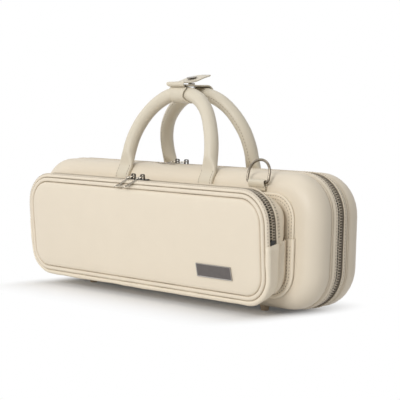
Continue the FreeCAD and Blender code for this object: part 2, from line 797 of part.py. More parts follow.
def make_wrap():
    """Leather wrap that holds the two handles together, with its snap fastener."""
    half_split = size["fit_gap"] * 1.5
    width, thickness = size["wrap_width"], size["wrap_thickness"]
    front = new_body("wrap_front_tab")
    strip_along(front, "wrap_front", (-half_split, wrap_floor), 180,
                [(grip_out - half_split,), (wrap_radius, -size["wrap_front_turn"])], width, thickness)
    rear = new_body("wrap_rear_tab")
    strip_along(rear, "wrap_rear", (half_split, wrap_floor), 0,
                [(grip_out - half_split,), (wrap_radius, Size(180)),
                 (grip_out + size["wrap_inner_reach"],)], width, thickness)
    flap = new_body("wrap_flap")
    strip_along(flap, "wrap_flap", flap_start, 90,
                [(size["fit_gap"],), (size["flap_fold_radius"], size["flap_slope"] - 90),
                 (size["flap_reach"],)], width, thickness)
    inner_top = wrap_centre_height + wrap_radius + thickness / 2
    stud = new_body("snap_stud", (0, 0, inner_top + size["fit_gap"] / 5))
    snap_disc(stud, size["snap_radius"] - size["soft_gap"], size["snap_height"])
    rise = -(flap_start[0] + flap_turn_out) * sine(size["flap_slope"]) / cosine(size["flap_slope"])
    flap_middle = flap_top + size["fit_gap"] + rise
    under = flap_middle - thickness / 2 - size["snap_height"] - size["fit_gap"]
    socket = new_body("snap_socket", (0, 0, under), size["flap_slope"])
    snap_disc(socket, size["snap_radius"], size["snap_height"])
    cap = new_body("snap_cap", (0, 0, flap_middle + thickness / 2 + size["fit_gap"] / 2),
                   size["flap_slope"])
    snap_disc(cap, size["snap_cap_radius"], size["snap_cap_height"])


def snap_disc(body, radius, height):
    disc = body.newObject("PartDesign::AdditiveCylinder", body.Name + "_disc")
    bind(disc, "Radius", radius)
    bind(disc, "Height", height)


def make_ring(name, side, end, lean):
    """D-shaped strap ring and the leather tab that holds its straight bar."""
    tab = new_body(name + "_ring_tab", (end * ring_x, 0, 0))
    shell_face = size["lid_depth"] + size["fit_gap"]
    low = flange_high + size["soft_gap"]
    strap = new_sketch(tab, "YZ_Plane", name + "_strap")
    box_outline(strap, (-side * shell_face, low),
                (-side * (shell_face + size["ring_tab_thickness"]), ring_bar_height))
    pad(tab, strap, size["ring_tab_width"], centred=True)
    loop = new_sketch(tab, "YZ_Plane", name + "_loop")
    bar = (-side * ring_bar_out, ring_bar_height)
    circle(loop, bar, size["ring_loop_radius"])
    pad(tab, loop, size["ring_tab_width"], centred=True)
    hole = new_sketch(tab, "YZ_Plane", name + "_loop_hole")
    circle(hole, bar, size["ring_wire_radius"] + size["ring_loop_clearance"])
    pocket(tab, hole, 2 * size["ring_tab_width"], centred=True)

    offset = (end * ring_x, -side * ring_bar_out, ring_bar_height)
    ring = new_body(name + "_d_ring", offset, lean)
    corner, half = size["ring_corner"], size["ring_width"] / 2
    path = new_sketch(ring, "XZ_Plane", name + "_ring_path")
    smooth_path(path, (0, 0), 0, [(half - corner,), (corner, 90), (size["ring_side"],), (half, 180),
                                  (size["ring_side"],), (corner, 90), (half - corner,)])
    wire = new_sketch(ring, "YZ_Plane", name + "_ring_wire")
    circle(wire, (0, 0), size["ring_wire_radius"])
    pipe(ring, wire, path, name + "_ring")


def make_slider(label, half_width, place, lean, nose):
    """Zipper slider: two plates joined by a post at the nose, with a bridge for the pull."""
    body = new_body(label, place, lean)
    half_height = size["teeth_height"] / 2 + size["slider_gap"]
    plate, half = size["slider_plate"], size["slider_length"] / 2
    for name, height in (("upper", half_height), ("lower", -half_height - plate)):
        sketch = new_sketch(body, "XY_Plane", label + "_" + name, height)
        rounded_outline(sketch, (-half, -half_width), (half, half_width), half_width / 2)
        pad(body, sketch, plate)
        if name == "upper":
            post = new_sketch(body, "XY_Plane", label + "_post", -half_height - plate / 2)
            edge = half - half_width / 2
            thin = size["teeth_half_gap"] - size["fit_gap"]
            box_outline(post, (nose * (edge - 2), -thin), (nose * edge, thin))
            pad(body, post, 2 * half_height + plate)
    bridge = new_sketch(body, "XZ_Plane", label + "_bridge")
    reach, wall = size["bridge_length"] / 2, size["bridge_wall"]
    low = half_height + plate / 2
    high = half_height + plate + size["bridge_height"]
    polygon(bridge, [(-reach, low), (-reach + wall, low), (-reach + wall, high - wall),
                     (reach - wall, high - wall), (reach - wall, low), (reach, low),
                     (reach, high - wall), (reach - wall, high), (-reach + wall, high),
                     (-reach, high - wall)])
    pad(body, bridge, size["bridge_width"], centred=True)


def make_pull(label, place, lean, turn, droop):
    """Flat metal pull whose eye turns on the bridge; it points left and forward."""
    body = document.addObject("PartDesign::Body", label)
    body.Label = label
    rise = size["teeth_height"] / 2 + size["slider_gap"] + size["slider_plate"] \
        + (size["bridge_height"] - size["bridge_wall"]) * 0.6
    tilted = Rotation(Vector(1, 0, 0), lean.number)
    turned = Rotation(Vector(0, 0, 1), 180 + turn.number)
    drooped = Rotation(Vector(0, 1, 0), droop.number)
    body.Placement = Placement(Vector(0, 0, 0), tilted.multiply(turned).multiply(drooped))
    bind(body, "Placement.Base.x", place[0])
    bind(body, "Placement.Base.y", plane_shift + place[1] - rise * sine(lean))
    bind(body, "Placement.Base.z", place[2] + rise * cosine(lean))
    outline = new_sketch(body, "XY_Plane", label + "_outline")
    bar, half = size["pull_bar"] / 2, size["pull_width"] / 2
    rounded_outline(outline, (-bar, -half), (size["pull_length"], half), half / 2)
    half_eye = size["pull_eye_width"] / 2
    box_outline(outline, (bar, -half_eye), (bar + size["pull_eye_length"], half_eye))
    circle(outline, (size["pull_length"] - 2 * size["pull_hole"], 0), size["pull_hole"])
    pad(body, outline, size["pull_thickness"], centred=True)


def make_sliders():
    """Two sliders on each zipper, nose to nose, and their pulls."""
    half_pitch = size["slider_pitch"] / 2
    half_width = size["channel_half"] - size["soft_gap"]
    teeth_up = pocket_height - pocket_teeth_inset
    lean = size["pocket_lean"]
    pocket_y = -size["pocket_foot_depth"] + pocket_zipper * cosine(lean) - teeth_up * sine(lean)
    pocket_z = size["pocket_low"] + pocket_zipper * sine(lean) + teeth_up * cosine(lean)
    for name, end in (("left", LEFT), ("right", RIGHT)):
        main_place = (size["main_slider_centre"] + end * half_pitch, 0, case_high - teeth_inset)
        make_slider("main_slider_" + name, half_width, main_place, as_size(0), -end)
        make_pull("main_pull_" + name, main_place, as_size(0), size["pull_turn"],
                  size["pull_droop"])
        place = (size["pocket_slider_centre"] + end * half_pitch, pocket_y, pocket_z)
        make_slider("pocket_slider_" + name, half_width, place, lean, -end)
        make_pull("pocket_pull_" + name, place, lean, size["pocket_pull_turn"],
                  size["pocket_pull_droop"])


def flange_sketch(body, name, distance, inset):
    sketch = new_sketch(body, "XZ_Plane", name, distance)
    flange_outline(sketch, inset)
    return sketch


def flange_outline(sketch, inset):
    half = size["flange_length"] / 2 - inset
    rounded_outline(sketch, (-half, size["flange_low"] + inset), (half, flange_high - inset),
                    size["flange_radius"] - inset)


def make_pocket_base():
    """Sewn-on leather flange round the pocket, and the fabric behind the pocket."""
    flange = new_body("pocket_flange")
    start = size["lid_depth"] + size["fit_gap"] / 2
    sketch = flange_sketch(flange, "flange_outer", start, 0)
    flange_outline(sketch, size["flange_width"])
    pad(flange, sketch, size["flange_thickness"])
    back = new_body("pocket_back_lining")
    pad(back, flange_sketch(back, "back_lining", start, size["flange_width"] + size["fit_gap"]),
        size["lining"])


def leaning_sketch(body, name, distance):
    """A sketch in the pocket's leaning frame, `distance` behind the panel's front plane."""
    sketch = new_sketch(body, "XZ_Plane", name)
    lean = size["pocket_lean"]
    sketch.AttachmentOffset = Placement(Vector(0, 0, 0), Rotation(Vector(1, 0, 0), lean.number))
    bind(sketch, "AttachmentOffset.Base.y", size["pocket_low"] + distance * sine(lean))
    bind(sketch, "AttachmentOffset.Base.z", size["pocket_foot_depth"] - distance * cosine(lean))
    bind(sketch, "AttachmentOffset.Rotation.Angle", lean)
    return sketch


def make_gusset(label, nearest):
    """Leather wall from the flange out towards the panel, up to `nearest` behind its front."""
    body = new_body(label)
    walls = []
    for name, wall in (("outer", as_size(0)), ("inner", size["leather"])):
        rear = new_sketch(body, "XZ_Plane", label + "_rear_" + name, flange_front + size["fit_gap"])
        flange_outline(rear, size["gusset_margin"] + wall)
        fore = leaning_sketch(body, label + "_fore_" + name, nearest)
        pocket_outline(fore, wall)
        walls.append((rear, fore))
    loft(body, *walls[0], label + "_outside")
    loft(body, *walls[1], label + "_hollow", cut=True)
    waste = leaning_sketch(body, label + "_waste", as_size(0))
    half = size["flange_length"]
    return body, waste, half


def make_gussets():
    """The upper gusset carries the zipper; the lower one folds when the panel leans out."""
    body, waste, half = make_gusset("pocket_gusset_upper", pocket_zipper + size["channel_half"])
    box_outline(waste, (-half, -size["pocket_low"]), (half, pocket_zipper_end))
    pocket(body, waste, size["flange_length"], centred=True)
    body, waste, half = make_gusset("pocket_gusset_lower", size["pocket_band_end"] + size["fit_gap"])
    box_outline(waste, (-half, lower_gusset_top), (half, 2 * pocket_height))
    pocket(body, waste, size["flange_length"], centred=True)


def panel_plate(label, inset, start, thickness, hole_inset=None):
    """A flat piece of the panel, as a plate or, with `hole_inset`, as a frame."""
    body = pocket_body(label)
    sketch = new_sketch(body, "XZ_Plane", label + "_outline", -as_size(start))
    pocket_outline(sketch, inset)
    if hole_inset is not None:
        pocket_outline(sketch, hole_inset)
    pad(body, sketch, thickness, backward=True)
    return body


def half_zipper(label, inset, height, start, width):
    """One strip of the pocket's zipper: over the top and halfway down both ends."""
    body = panel_plate(label, inset, start, width, inset + height)
    sketch = new_sketch(body, "XZ_Plane", label + "_waste")
    half = size["pocket_length"]
    box_outline(sketch, (-half, -size["pocket_low"]), (half, pocket_zipper_end))
    pocket(body, sketch, pocket_height, centred=True)


def make_pocket_panel():
    """Padded front panel in its rounded border, with the leather band that the zipper is sewn to."""
    border = panel_plate("pocket_border", size["border_inset"], as_size(0), size["border_depth"],
                         size["border_reach"])
    fillet(border, size["border_round"], 1, as_size(0), "border_round")
    face_front = size["border_depth"] - size["panel_pad"]
    face = panel_plate("pocket_panel_face", size["border_reach"] + size["fit_gap"], face_front,
                       size["panel_pad"])
    fillet(face, size["panel_pad"] / 2, 1, face_front, "face_round")
    band = panel_plate("pocket_front_band", as_size(0), size["pocket_band_start"],
                       size["pocket_band_end"] - size["pocket_band_start"],
                       size["border_inset"] - size["fit_gap"])
    fillet(band, size["pocket_band_round"], 1, size["pocket_band_start"], "band_round")
    panel_plate("pocket_panel_board", size["panel_board_inset"],
                size["pocket_band_end"] + size["fit_gap"], size["panel_board"])


def make_nameplate():
    """Bare metal plate on the panel, with slanting ends."""
    plate = pocket_body("nameplate")
    front = size["border_depth"] - size["panel_pad"] - size["fit_gap"] / 5
    sketch = new_sketch(plate, "XZ_Plane", "plate_outline", -front)
    half, slant = size["nameplate_length"] / 2, size["nameplate_slant"] / 2
    middle, up = size["nameplate_x"], size["nameplate_up"]
    high, low = up + size["nameplate_height"] / 2, up - size["nameplate_height"] / 2
    polygon(sketch, [(middle - half + slant, low), (middle + half + slant, low),
                     (middle + half - slant, high), (middle - half - slant, high)])
    pad(plate, sketch, size["nameplate_thickness"])


def make_pocket_zipper():
    """Tapes, teeth and end stops of the pocket's zipper."""
    teeth_low = pocket_teeth_inset - size["teeth_height"] / 2
    front_teeth = pocket_zipper - size["teeth_half_gap"] - size["teeth_width"]
    rear_teeth = pocket_zipper + size["teeth_half_gap"]
    half_zipper("pocket_teeth_front", teeth_low, size["teeth_height"], front_teeth,
                size["teeth_width"])
    half_zipper("pocket_teeth_rear", teeth_low, size["teeth_height"], rear_teeth,
                size["teeth_width"])
    front_tape = size["pocket_band_end"] + size["fit_gap"]
    half_zipper("pocket_tape_front", size["pocket_tape_inset"], size["tape_thickness"], front_tape,
                front_teeth - size["fit_gap"] - front_tape)
    rear_tape = rear_teeth + size["teeth_width"] + size["fit_gap"]
    half_zipper("pocket_tape_rear", size["pocket_tape_inset"], size["tape_thickness"], rear_tape,
                pocket_zipper + size["channel_half"] + 2 * size["fit_gap"] - rear_tape)
    stops = pocket_body("pocket_zipper_stops")
    high = pocket_zipper_end - size["fit_gap"]
    low = lower_gusset_top + size["fit_gap"]
    sketch = new_sketch(stops, "YZ_Plane", "pocket_stop",
                        size["pocket_length"] / 2 - teeth_low - size["teeth_height"])
    box_outline(sketch, (rear_teeth - size["teeth_half_gap"] * 2, low),
                (rear_teeth + size["teeth_width"], high))
    mirror_left_right(stops, [pad(stops, sketch, size["teeth_height"])])


def make_model():
    for side, half_name, cover, depth in ((FRONT, "lid", "lid_cover", size["lid_depth"]),
                                          (BACK, "back", "back_cover", size["back_depth"])):
        make_cover(cover, side, depth)
        make_side_band(half_name + "_side_band", side)
        make_welt(half_name + "_welt", side)
        make_board(half_name + "_board", side, board_front if side == FRONT else board_back)
        make_lining(half_name + "_lining", side)
        make_main_zipper(half_name, side)
        make_feet(half_name + "_feet", side)
    make_zipper_stops()
    make_hinge_strip()
    make_lid_pad()
    make_flute_tray()
    for name, side in (("front", FRONT), ("rear", BACK)):
        make_handle_tabs(name + "_handle_tabs", side)
        make_handle(name, side)
    make_wrap()
    make_ring("front", FRONT, RIGHT, -size["ring_lean"])
    make_ring("rear", BACK, LEFT, Size(180))
    make_pocket_base()
    make_gussets()
    make_pocket_panel()
    make_nameplate()
    make_pocket_zipper()
    make_sliders()


def check_and_export():
    """Stop on any failed feature or bad shape; otherwise write one file for each piece."""
    document.recompute()
    for item in document.Objects:
        if "Invalid" in item.State or "Error" in item.State:
            raise RuntimeError("%s failed: %s" % (item.Name, item.State))
    os.makedirs("parts", exist_ok=True)
    pieces = [item for item in document.Objects if item.TypeId == "PartDesign::Body"]
    bad = [piece.Label for piece in pieces if piece.Shape.isNull() or not piece.Shape.isValid()]
    if bad:
        raise RuntimeError("no valid shape: " + ", ".join(bad))
    for piece in pieces:
        piece.Shape.exportStep("parts/%s.step" % piece.Label)
    print("%d pieces" % len(pieces))


make_model()
check_and_export()
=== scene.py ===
import math

import bmesh
import bpy
from mathutils import Matrix, Vector, noise
from mathutils.bvhtree import BVHTree

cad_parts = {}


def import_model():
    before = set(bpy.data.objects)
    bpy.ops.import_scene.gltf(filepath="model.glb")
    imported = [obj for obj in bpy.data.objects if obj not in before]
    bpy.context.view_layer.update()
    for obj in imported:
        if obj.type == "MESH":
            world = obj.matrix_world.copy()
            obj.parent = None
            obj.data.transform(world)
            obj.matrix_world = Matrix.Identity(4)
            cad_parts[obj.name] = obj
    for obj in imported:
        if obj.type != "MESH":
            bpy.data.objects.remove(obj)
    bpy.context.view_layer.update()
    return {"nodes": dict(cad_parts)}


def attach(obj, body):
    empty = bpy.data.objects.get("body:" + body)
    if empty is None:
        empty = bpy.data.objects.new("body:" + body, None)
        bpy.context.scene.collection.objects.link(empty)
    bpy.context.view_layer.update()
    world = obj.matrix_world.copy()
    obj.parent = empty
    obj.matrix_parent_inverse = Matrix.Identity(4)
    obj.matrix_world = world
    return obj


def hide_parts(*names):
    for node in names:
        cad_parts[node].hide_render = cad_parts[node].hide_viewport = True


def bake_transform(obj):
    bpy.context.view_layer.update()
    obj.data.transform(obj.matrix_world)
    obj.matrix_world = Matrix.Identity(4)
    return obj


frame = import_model()

# All measures of the case are in millimetres here, and become metres when a piece is finished.
# Case places are (x, distance from the zipper plane, height); pocket places are in the frame of
# the pocket's leaning panel: y back from its front, z up from its foot.
FRONT, BACK = -1, 1
MILLIMETRE = 0.001
SHIFT = 22.904

# Rounded outlines: half length, bottom, top, radius of the upper corners and of the lower ones.
CASE = (212.5, 4.5, 142.5, 43.5, 43.5)
FLANGE = (185.5, 18, 122, 26, 26)
POCKET = (182, 0, 115, 34, 30)
CORNER_STEPS, LEVEL_CUTS, UPRIGHT_CUTS = 9, 26, 7

ZIPPER_Y, POCKET_ZIPPER_END = 9.8, 61.6
TEETH_INSET, POCKET_TEETH_INSET = 3.15, 2.25
TOOTH_PITCH, TOOTH_REACH, TOOTH_MIDDLE = 2.7, 4.3, -1.55
HINGE_HALF = 160

# The rounded upper edge of a shell, and the leather tabs that run over it.
EDGE_OUT, EDGE_HEIGHT = 20, 123.5
TAB_FOOT, TAB_TURN = 122.4, 19.9
PIVOT_OUT, PIVOT_HEIGHT = 34.779, 138.279
HANDLE_LEAN = math.radians(15)
HANDLE_LEG, HANDLE_RADIUS, CORD_RADIUS = 16, 7.5, 5.6
HALF_SPAN, ARCH_RISE, SHOULDER_ANGLE = 63.5, 67.6, math.radians(55)
GRIP_OUT, GRIP_HEIGHT = 13.142, 219.03
WRAP_WIDTH, WRAP_THICKNESS = 25, 1.7
RING_X, RING_BAR_OUT, RING_BAR_HEIGHT = 137, 41.1, 131

lean_forward = Matrix.Translation((0, -69.1, 11)) @ Matrix.Rotation(math.radians(5), 4, "X")
case_place = Matrix.Translation((0, SHIFT, 0))
pocket_place = case_place @ lean_forward


# ---------------------------------------------------------------- mesh helpers

def outline(measures, inset, y):
    """Points of a rounded outline drawn in by `inset`, in order round its edge, at one depth."""
    half, low, high, top_radius, low_radius = measures
    shape = bmesh.new()
    corners = bmesh.ops.create_grid(shape, x_segments=1, y_segments=1, size=1)["verts"]
    top = [v for v in corners if v.co.y > 0]
    bottom = [v for v in corners if v.co.y < 0]
    for v in corners:
        v.co = Vector(((half - inset) * v.co.x, 0, high - inset if v in top else low + inset))
    for pair, radius in ((top, top_radius), (bottom, low_radius)):
        round_off(shape, pair, max(radius - inset, 0.5), CORNER_STEPS, "VERTICES")
    bmesh.ops.delete(shape, geom=shape.faces[:], context="FACES_ONLY")
    level = [e for e in shape.edges if abs(e.verts[0].co.z - e.verts[1].co.z) < 1e-5]
    standing = [e for e in shape.edges if abs(e.verts[0].co.x - e.verts[1].co.x) < 1e-5]
    bmesh.ops.subdivide_edges(shape, edges=level, cuts=LEVEL_CUTS)
    bmesh.ops.subdivide_edges(shape, edges=standing, cuts=UPRIGHT_CUTS)
    start = max(shape.verts, key=lambda v: (round(v.co.z, 4), -v.co.x))
    points, last, here = [], None, start
    while here is not start or not points:
        points.append(Vector((here.co.x, y, here.co.z)))
        ways = [v for v in (e.other_vert(here) for e in here.link_edges) if v is not last]
        following = max(ways, key=lambda v: v.co.x) if last is None else ways[0]
        last, here = here, following
    shape.free()
    return points


def case_loop(side, inset, distance):
    return outline(CASE, inset, side * distance)


def flange_loop(inset, distance):
    return outline(FLANGE, inset, -distance)


def pocket_loop(inset, y):
    """A loop of the pocket's panel, which bulges a little at its left end."""
    loop = outline(POCKET, inset, y)
    for p in loop:
        near = max(0, min(1, (-p.x - 110) / 65))
        p.x -= 2.4 * near * near * math.exp(-((p.z - 72) / 30) ** 2)
    return loop


def surround(measures):
    """A function that gives the outward direction at a point on a rounded outline."""
    half, low, high, top_radius, low_radius = measures

    def outward(p):
        x = max(-half + top_radius, min(half - top_radius, p.x))
        z = max(low + low_radius, min(high - top_radius, p.z))
        way = Vector((p.x - x, 0, p.z - z))
        return way.normalized() if way.length > 1e-6 else Vector((0, 0, 1))
    return outward


def arc_points(centre, height, radius, start, stop, count):
    """Places along an arc, between two angles in degrees."""
    found = []
    for k in range(count + 1):
        angle = math.radians(start + (stop - start) * k / count)
        found.append((centre + radius * math.cos(angle), height + radius * math.sin(angle)))
    return found


def skin(sections, away_from=None, ring=True, closed=False, cap_first=False, cap_last=False,
         seam=None):
    """Draw a surface through loops of points, by extruding the first loop to each later one.

    Where a point `away_from` is given, the surface looks away from it.
    """
    shape = bmesh.new()
    # The `seam` marks weight painted shade, with some wear, along seams and folds.
    edge_mark = shape.verts.layers.float.new("seam")
    first = [shape.verts.new(p) for p in sections[0]]
    pairs = list(zip(first, first[1:] + first[:1] if ring else first[1:]))
    edges = [shape.edges.new(pair) for pair in pairs]
    marks = seam or [0] * len(sections)
    for v in first:
        v[edge_mark] = marks[0]
    if cap_first:
        shape.faces.new(first)
    row = first
    for number, section in enumerate(sections[1:], 1):
        made = bmesh.ops.extrude_edge_only(shape, edges=edges)["geom"]
        new = {tuple(v.co): v for v in made if isinstance(v, bmesh.types.BMVert)}
        row = [new[tuple(v.co)] for v in row]
        edges = [e for e in made if isinstance(e, bmesh.types.BMEdge)]
        for v, p in zip(row, section):
            v.co = p
            v[edge_mark] = marks[number]
    if cap_last:
        shape.faces.new(row)
    if closed:
        bmesh.ops.remove_doubles(shape, verts=shape.verts, dist=1e-4)
    bmesh.ops.recalc_face_normals(shape, faces=shape.faces)
    if away_from is not None and sum(f.calc_area() * f.normal.dot(f.calc_center_median() - away_from)
                                     for f in shape.faces) < 0:
        bmesh.ops.reverse_faces(shape, faces=shape.faces)
    return shape


def round_off(shape, geom, offset, segments, affect="EDGES"):
    bmesh.ops.bevel(shape, geom=geom, offset=offset, offset_type="OFFSET", segments=segments,
                    profile=0.5, affect=affect, material=-1)


def new_object(name, data):
    made = bpy.data.objects.new(name, data)
    bpy.context.collection.objects.link(made)
    return made


def place(shape, matrix):
    bmesh.ops.transform(shape, matrix=matrix, verts=shape.verts)


def push(shape, amount):
    """Move every point along its normal by what `amount` gives for its place."""
    shape.normal_update()
    for v in shape.verts:
        v.co += v.normal * amount(v.co)


def ruffle(shape, depth, size, where=lambda p: 1):
    """Small soft unevenness, as deep as `depth` where `where` gives 1."""
    push(shape, lambda p: depth * noise.noise(p / size) * where(p))


def finish_piece(name, shape, material, body=None, nodes="", wall=0, smooth=True,
                 rounding=0, at=case_place):
    """Put a finished shape in its place, make an object of it, in metres, and tie it to its body.

    `nodes` names the CAD nodes that it stands for, with spaces between.
    """
    place(shape, at)
    place(shape, Matrix.Scale(MILLIMETRE, 4))
    mesh = bpy.data.meshes.new(name)
    shape.to_mesh(mesh)
    shape.free()
    for polygon in mesh.polygons:
        polygon.use_smooth = smooth
    piece = new_object(name, mesh)
    mesh.materials.append(material)
    if wall:
        thick = piece.modifiers.new("wall", "SOLIDIFY")
        thick.thickness = wall * MILLIMETRE
        thick.offset = -1
        thick.use_even_offset = True
    if rounding:
        edge = piece.modifiers.new("rounding", "BEVEL")
        edge.width = rounding * MILLIMETRE
        edge.segments = 2
        edge.limit_method = "ANGLE"
    if body:
        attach(piece, body)
    if nodes:
        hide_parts(*nodes.split())
    return piece


def cut_away(shape, cuts, doomed):
    """Cut a shape along planes and remove the faces that `doomed` picks by their centres."""
    for point, normal in cuts:
        bmesh.ops.bisect_plane(shape, geom=shape.verts[:] + shape.edges[:] + shape.faces[:],
                               plane_co=point, plane_no=normal, dist=1e-5)
    faces = [f for f in shape.faces if doomed(f.calc_center_median())]
    bmesh.ops.delete(shape, geom=faces, context="FACES")


def along_loop(points, spacing, closed=True):
    """Evenly spaced (place, direction) pairs along a line of points."""
    run = points + points[:1] if closed else points
    lengths = [(b - a).length for a, b in zip(run, run[1:])]
    total = sum(lengths)
    count = max(2, int(round(total / spacing)))
    step = total / count
    found, walked, index = [], 0, 0
    for k in range(count if closed else count + 1):
        target = min(k * step, total - 1e-6)
        while walked + lengths[index] < target:
            walked += lengths[index]
            index += 1
        direction = (run[index + 1] - run[index]).normalized()
        found.append((run[index] + direction * (target - walked), direction))
    return found


def copies(pattern, places):
    """Many copies of a small pattern shape, one at each matrix."""
    source = bpy.data.meshes.new("pattern")
    pattern.to_mesh(source)
    pattern.free()
    shape = bmesh.new()
    for matrix in places:
        start = len(shape.verts)
        shape.from_mesh(source)
        shape.verts.ensure_lookup_table()
        bmesh.ops.transform(shape, matrix=matrix, verts=shape.verts[start:])
    bpy.data.meshes.remove(source)
    return shape


def standing_frame(point, along, up):
    """A matrix with x along the line and z up from the surface."""
    x = along.normalized()
    y = up.cross(x).normalized()
    z = x.cross(y)
    matrix = Matrix((x, y, z)).transposed().to_4x4()
    matrix.translation = point
    return matrix


def stitch_pattern(length, thick):
    """One stitch: a short thread that dips into the leather at both ends."""
    shape = bmesh.new()
    bmesh.ops.create_cube(shape, size=1)
    bmesh.ops.subdivide_edges(shape, edges=[e for e in shape.edges
                                            if abs(e.verts[0].co.x - e.verts[1].co.x) > 0.5], cuts=2)
    for v in shape.verts:
        reach = abs(v.co.x) * 2
        pinch = 1 if reach < 0.5 else 0.55
        v.co = Vector((v.co.x * length, v.co.y * thick * pinch, v.co.z * thick * pinch))
        if reach > 0.5:
            v.co.z -= thick * 0.45
    return shape


def sew(name, surface, lines, body, spacing, thick, closed=True, at=case_place):
    """Rows of stitches along lines, laid on the surface where it is nearest."""
    surface.normal_update()
    nearest = BVHTree.FromBMesh(surface).find_nearest
    places = []
    for line in lines:
        for p, direction in along_loop(line, spacing, closed):
            spot, up = nearest(p)[:2]
            places.append(standing_frame(spot + up * thick * 0.15, direction, up))
    finish_piece(name, copies(stitch_pattern(spacing * 0.6, thick), places), thread, body, at=at)


def joined(*shapes):
    """Several shapes as one."""
    whole = bmesh.new()
    for shape in shapes:
        part = bpy.data.meshes.new("part")
        shape.to_mesh(part)
        shape.free()
        whole.from_mesh(part)
        bpy.data.meshes.remove(part)
    return whole


def superellipse(a, b, power, count):
    """Points of a rounded strip's or roll's section."""
    found = []
    for k in range(count):
        angle = 2 * math.pi * k / count
        c, s = math.cos(angle), math.sin(angle)
        found.append((math.copysign(abs(c) ** (2 / power), c) * a,
                      math.copysign(abs(s) ** (2 / power), s) * b))
    return found


def strap(stations, count=28, cap=True):
    """Sweep rounded sections along stations.

    A station is its centre, wide axis, thin axis, half width, half thickness, the power of its
    section's curve (2 is an ellipse, more is squarer) and how far its seam stands up.
    """
    loops = []
    for centre, wide, thin, a, b, power, lift in stations:
        loop = []
        for k, (u, v) in enumerate(superellipse(a, b, power, count)):
            angle = 2 * math.pi * k / count
            gap = math.atan2(math.sin(angle - math.pi / 2), math.cos(angle - math.pi / 2))
            swell = 1 + lift * math.exp(-(gap / 0.16) ** 2)
            loop.append(centre + wide * u * swell + thin * v * swell)
        loops.append(loop)
    return skin(loops, cap_first=cap, cap_last=cap)


# ---------------------------------------------------------------- materials

def node_group(name, inputs, outputs):
    group = bpy.data.node_groups.new(name, "ShaderNodeTree")
    for label, default in inputs:
        socket = group.interface.new_socket(label, in_out="INPUT", socket_type="NodeSocketFloat")
        socket.default_value = default
    for label, kind in outputs:
        group.interface.new_socket(label, in_out="OUTPUT", socket_type=kind)
    enter = group.nodes.new("NodeGroupInput")
    leave = group.nodes.new("NodeGroupOutput")
    return group, enter, leave


def feed(socket, value):
    """Give a node's input a plain value, or link it to another node's output."""
    if isinstance(value, bpy.types.NodeSocket):
        socket.id_data.links.new(value, socket)
    elif socket.type == "RGBA":
        socket.default_value = (*value, 1)
    else:
        socket.default_value = value


def add(tree, kind, **settings):
    """A node with its inputs fed and its properties set by name."""
    node = tree.nodes.new("ShaderNode" + kind)
    for key, value in settings.items():
        if key in node.inputs:
            feed(node.inputs[key], value)
        else:
            setattr(node, key, value)
    return node


def own_place(tree):
    """Where a point is in the object's own coordinates."""
    return add(tree, "TexCoord").outputs["Object"]


def texture(tree, kind, **settings):
    """A texture node, laid out in the object's own coordinates unless told otherwise."""
    settings.setdefault("Vector", own_place(tree))
    return add(tree, "Tex" + kind, **settings)


def calc(tree, operation, *values):
    """A maths node fed by sockets or plain numbers."""
    node = add(tree, "Math", operation=operation)
    for socket, value in zip(node.inputs, values):
        feed(socket, value)
    return node.outputs[0]


def blend_colours(tree, factor, first, second):
    node = add(tree, "Mix", data_type="RGBA")
    for index, value in ((0, factor), (6, first), (7, second)):
        feed(node.inputs[index], value)
    return node.outputs[2]


def leather_grain_group():
    """Pebbled grain with fine pores, and broad soft patches."""
    group, enter, leave = node_group(
        "leather grain", (("Pebbles per metre", 700), ("Pore depth", 0.3)),
        (("Height", "NodeSocketFloat"), ("Patches", "NodeSocketFloat"), ("Pores", "NodeSocketFloat")))
    pebble = texture(group, "Voronoi", feature="SMOOTH_F1", Smoothness=0.6, Randomness=0.9,
                     Scale=enter.outputs[0])
    pores = texture(group, "Noise", Scale=2600, Detail=3, Roughness=0.6)
    patches = texture(group, "Noise", Scale=38, Detail=3, Roughness=0.55)
    fine = calc(group, "MULTIPLY", pores.outputs["Fac"], enter.outputs[1])
    height = calc(group, "ADD", pebble.outputs["Distance"], fine)
    feed(leave.inputs["Height"], height)
    feed(leave.inputs["Patches"], patches.outputs["Fac"])
    feed(leave.inputs["Pores"], pores.outputs["Fac"])
    return group


def seam_shade_and_wear_group():
    """Painted shade along seams and folds, with some wear where the surface is handled: the marked edges,
    broken up by a soft noise.
    """
    group, enter, leave = node_group("seam shade and wear", (("Amount", 1),), (("Mask", "NodeSocketFloat"),))
    mark = add(group, "Attribute", attribute_name="seam")
    cloud = texture(group, "Noise", Scale=90, Detail=4, Roughness=0.6)
    broken = calc(group, "MULTIPLY_ADD", cloud.outputs["Fac"], 0.9, 0.45)
    mask = calc(group, "MULTIPLY", mark.outputs["Fac"], broken)
    feed(leave.inputs["Mask"], calc(group, "MULTIPLY", mask, enter.outputs[0]))
    return group


def weave_group():
    """Fine crossing threads."""
    group, enter, leave = node_group("weave", (("Threads per metre", 1800),),
                                     (("Height", "NodeSocketFloat"),))
    heights = [texture(group, "Wave", wave_type="BANDS", bands_direction=direction, Distortion=0.6,
                       Detail=1, Scale=enter.outputs[0]).outputs["Fac"]
               for direction in ("X", "Z", "Y")]
    total = calc(group, "ADD", calc(group, "MAXIMUM", heights[0], heights[1]), heights[2])
    feed(leave.inputs["Height"], total)
    return group


def use(tree, group, **values):
    """A node that uses a group; its inputs are fed by name."""
    node = tree.nodes.new("ShaderNodeGroup")
    node.node_tree = group
    coat(node, **values)
    return node


def tint(colour, *amounts):
    """A colour times one amount, or times one amount for each of its three parts."""
    return tuple(part * amount for part, amount in zip(colour, amounts * 3))


def new_material(name):
    material = bpy.data.materials.new(name)
    material.use_nodes = True
    return material, material.node_tree, material.node_tree.nodes["Principled BSDF"]


def coat(shader, **values):
    """Feed a shader's inputs by name."""
    for key, value in values.items():
        feed(shader.inputs[key.replace("_", " ")], value)


def bump(tree, height, strength, distance):
    return add(tree, "Bump", Height=height, Strength=strength, Distance=distance).outputs["Normal"]


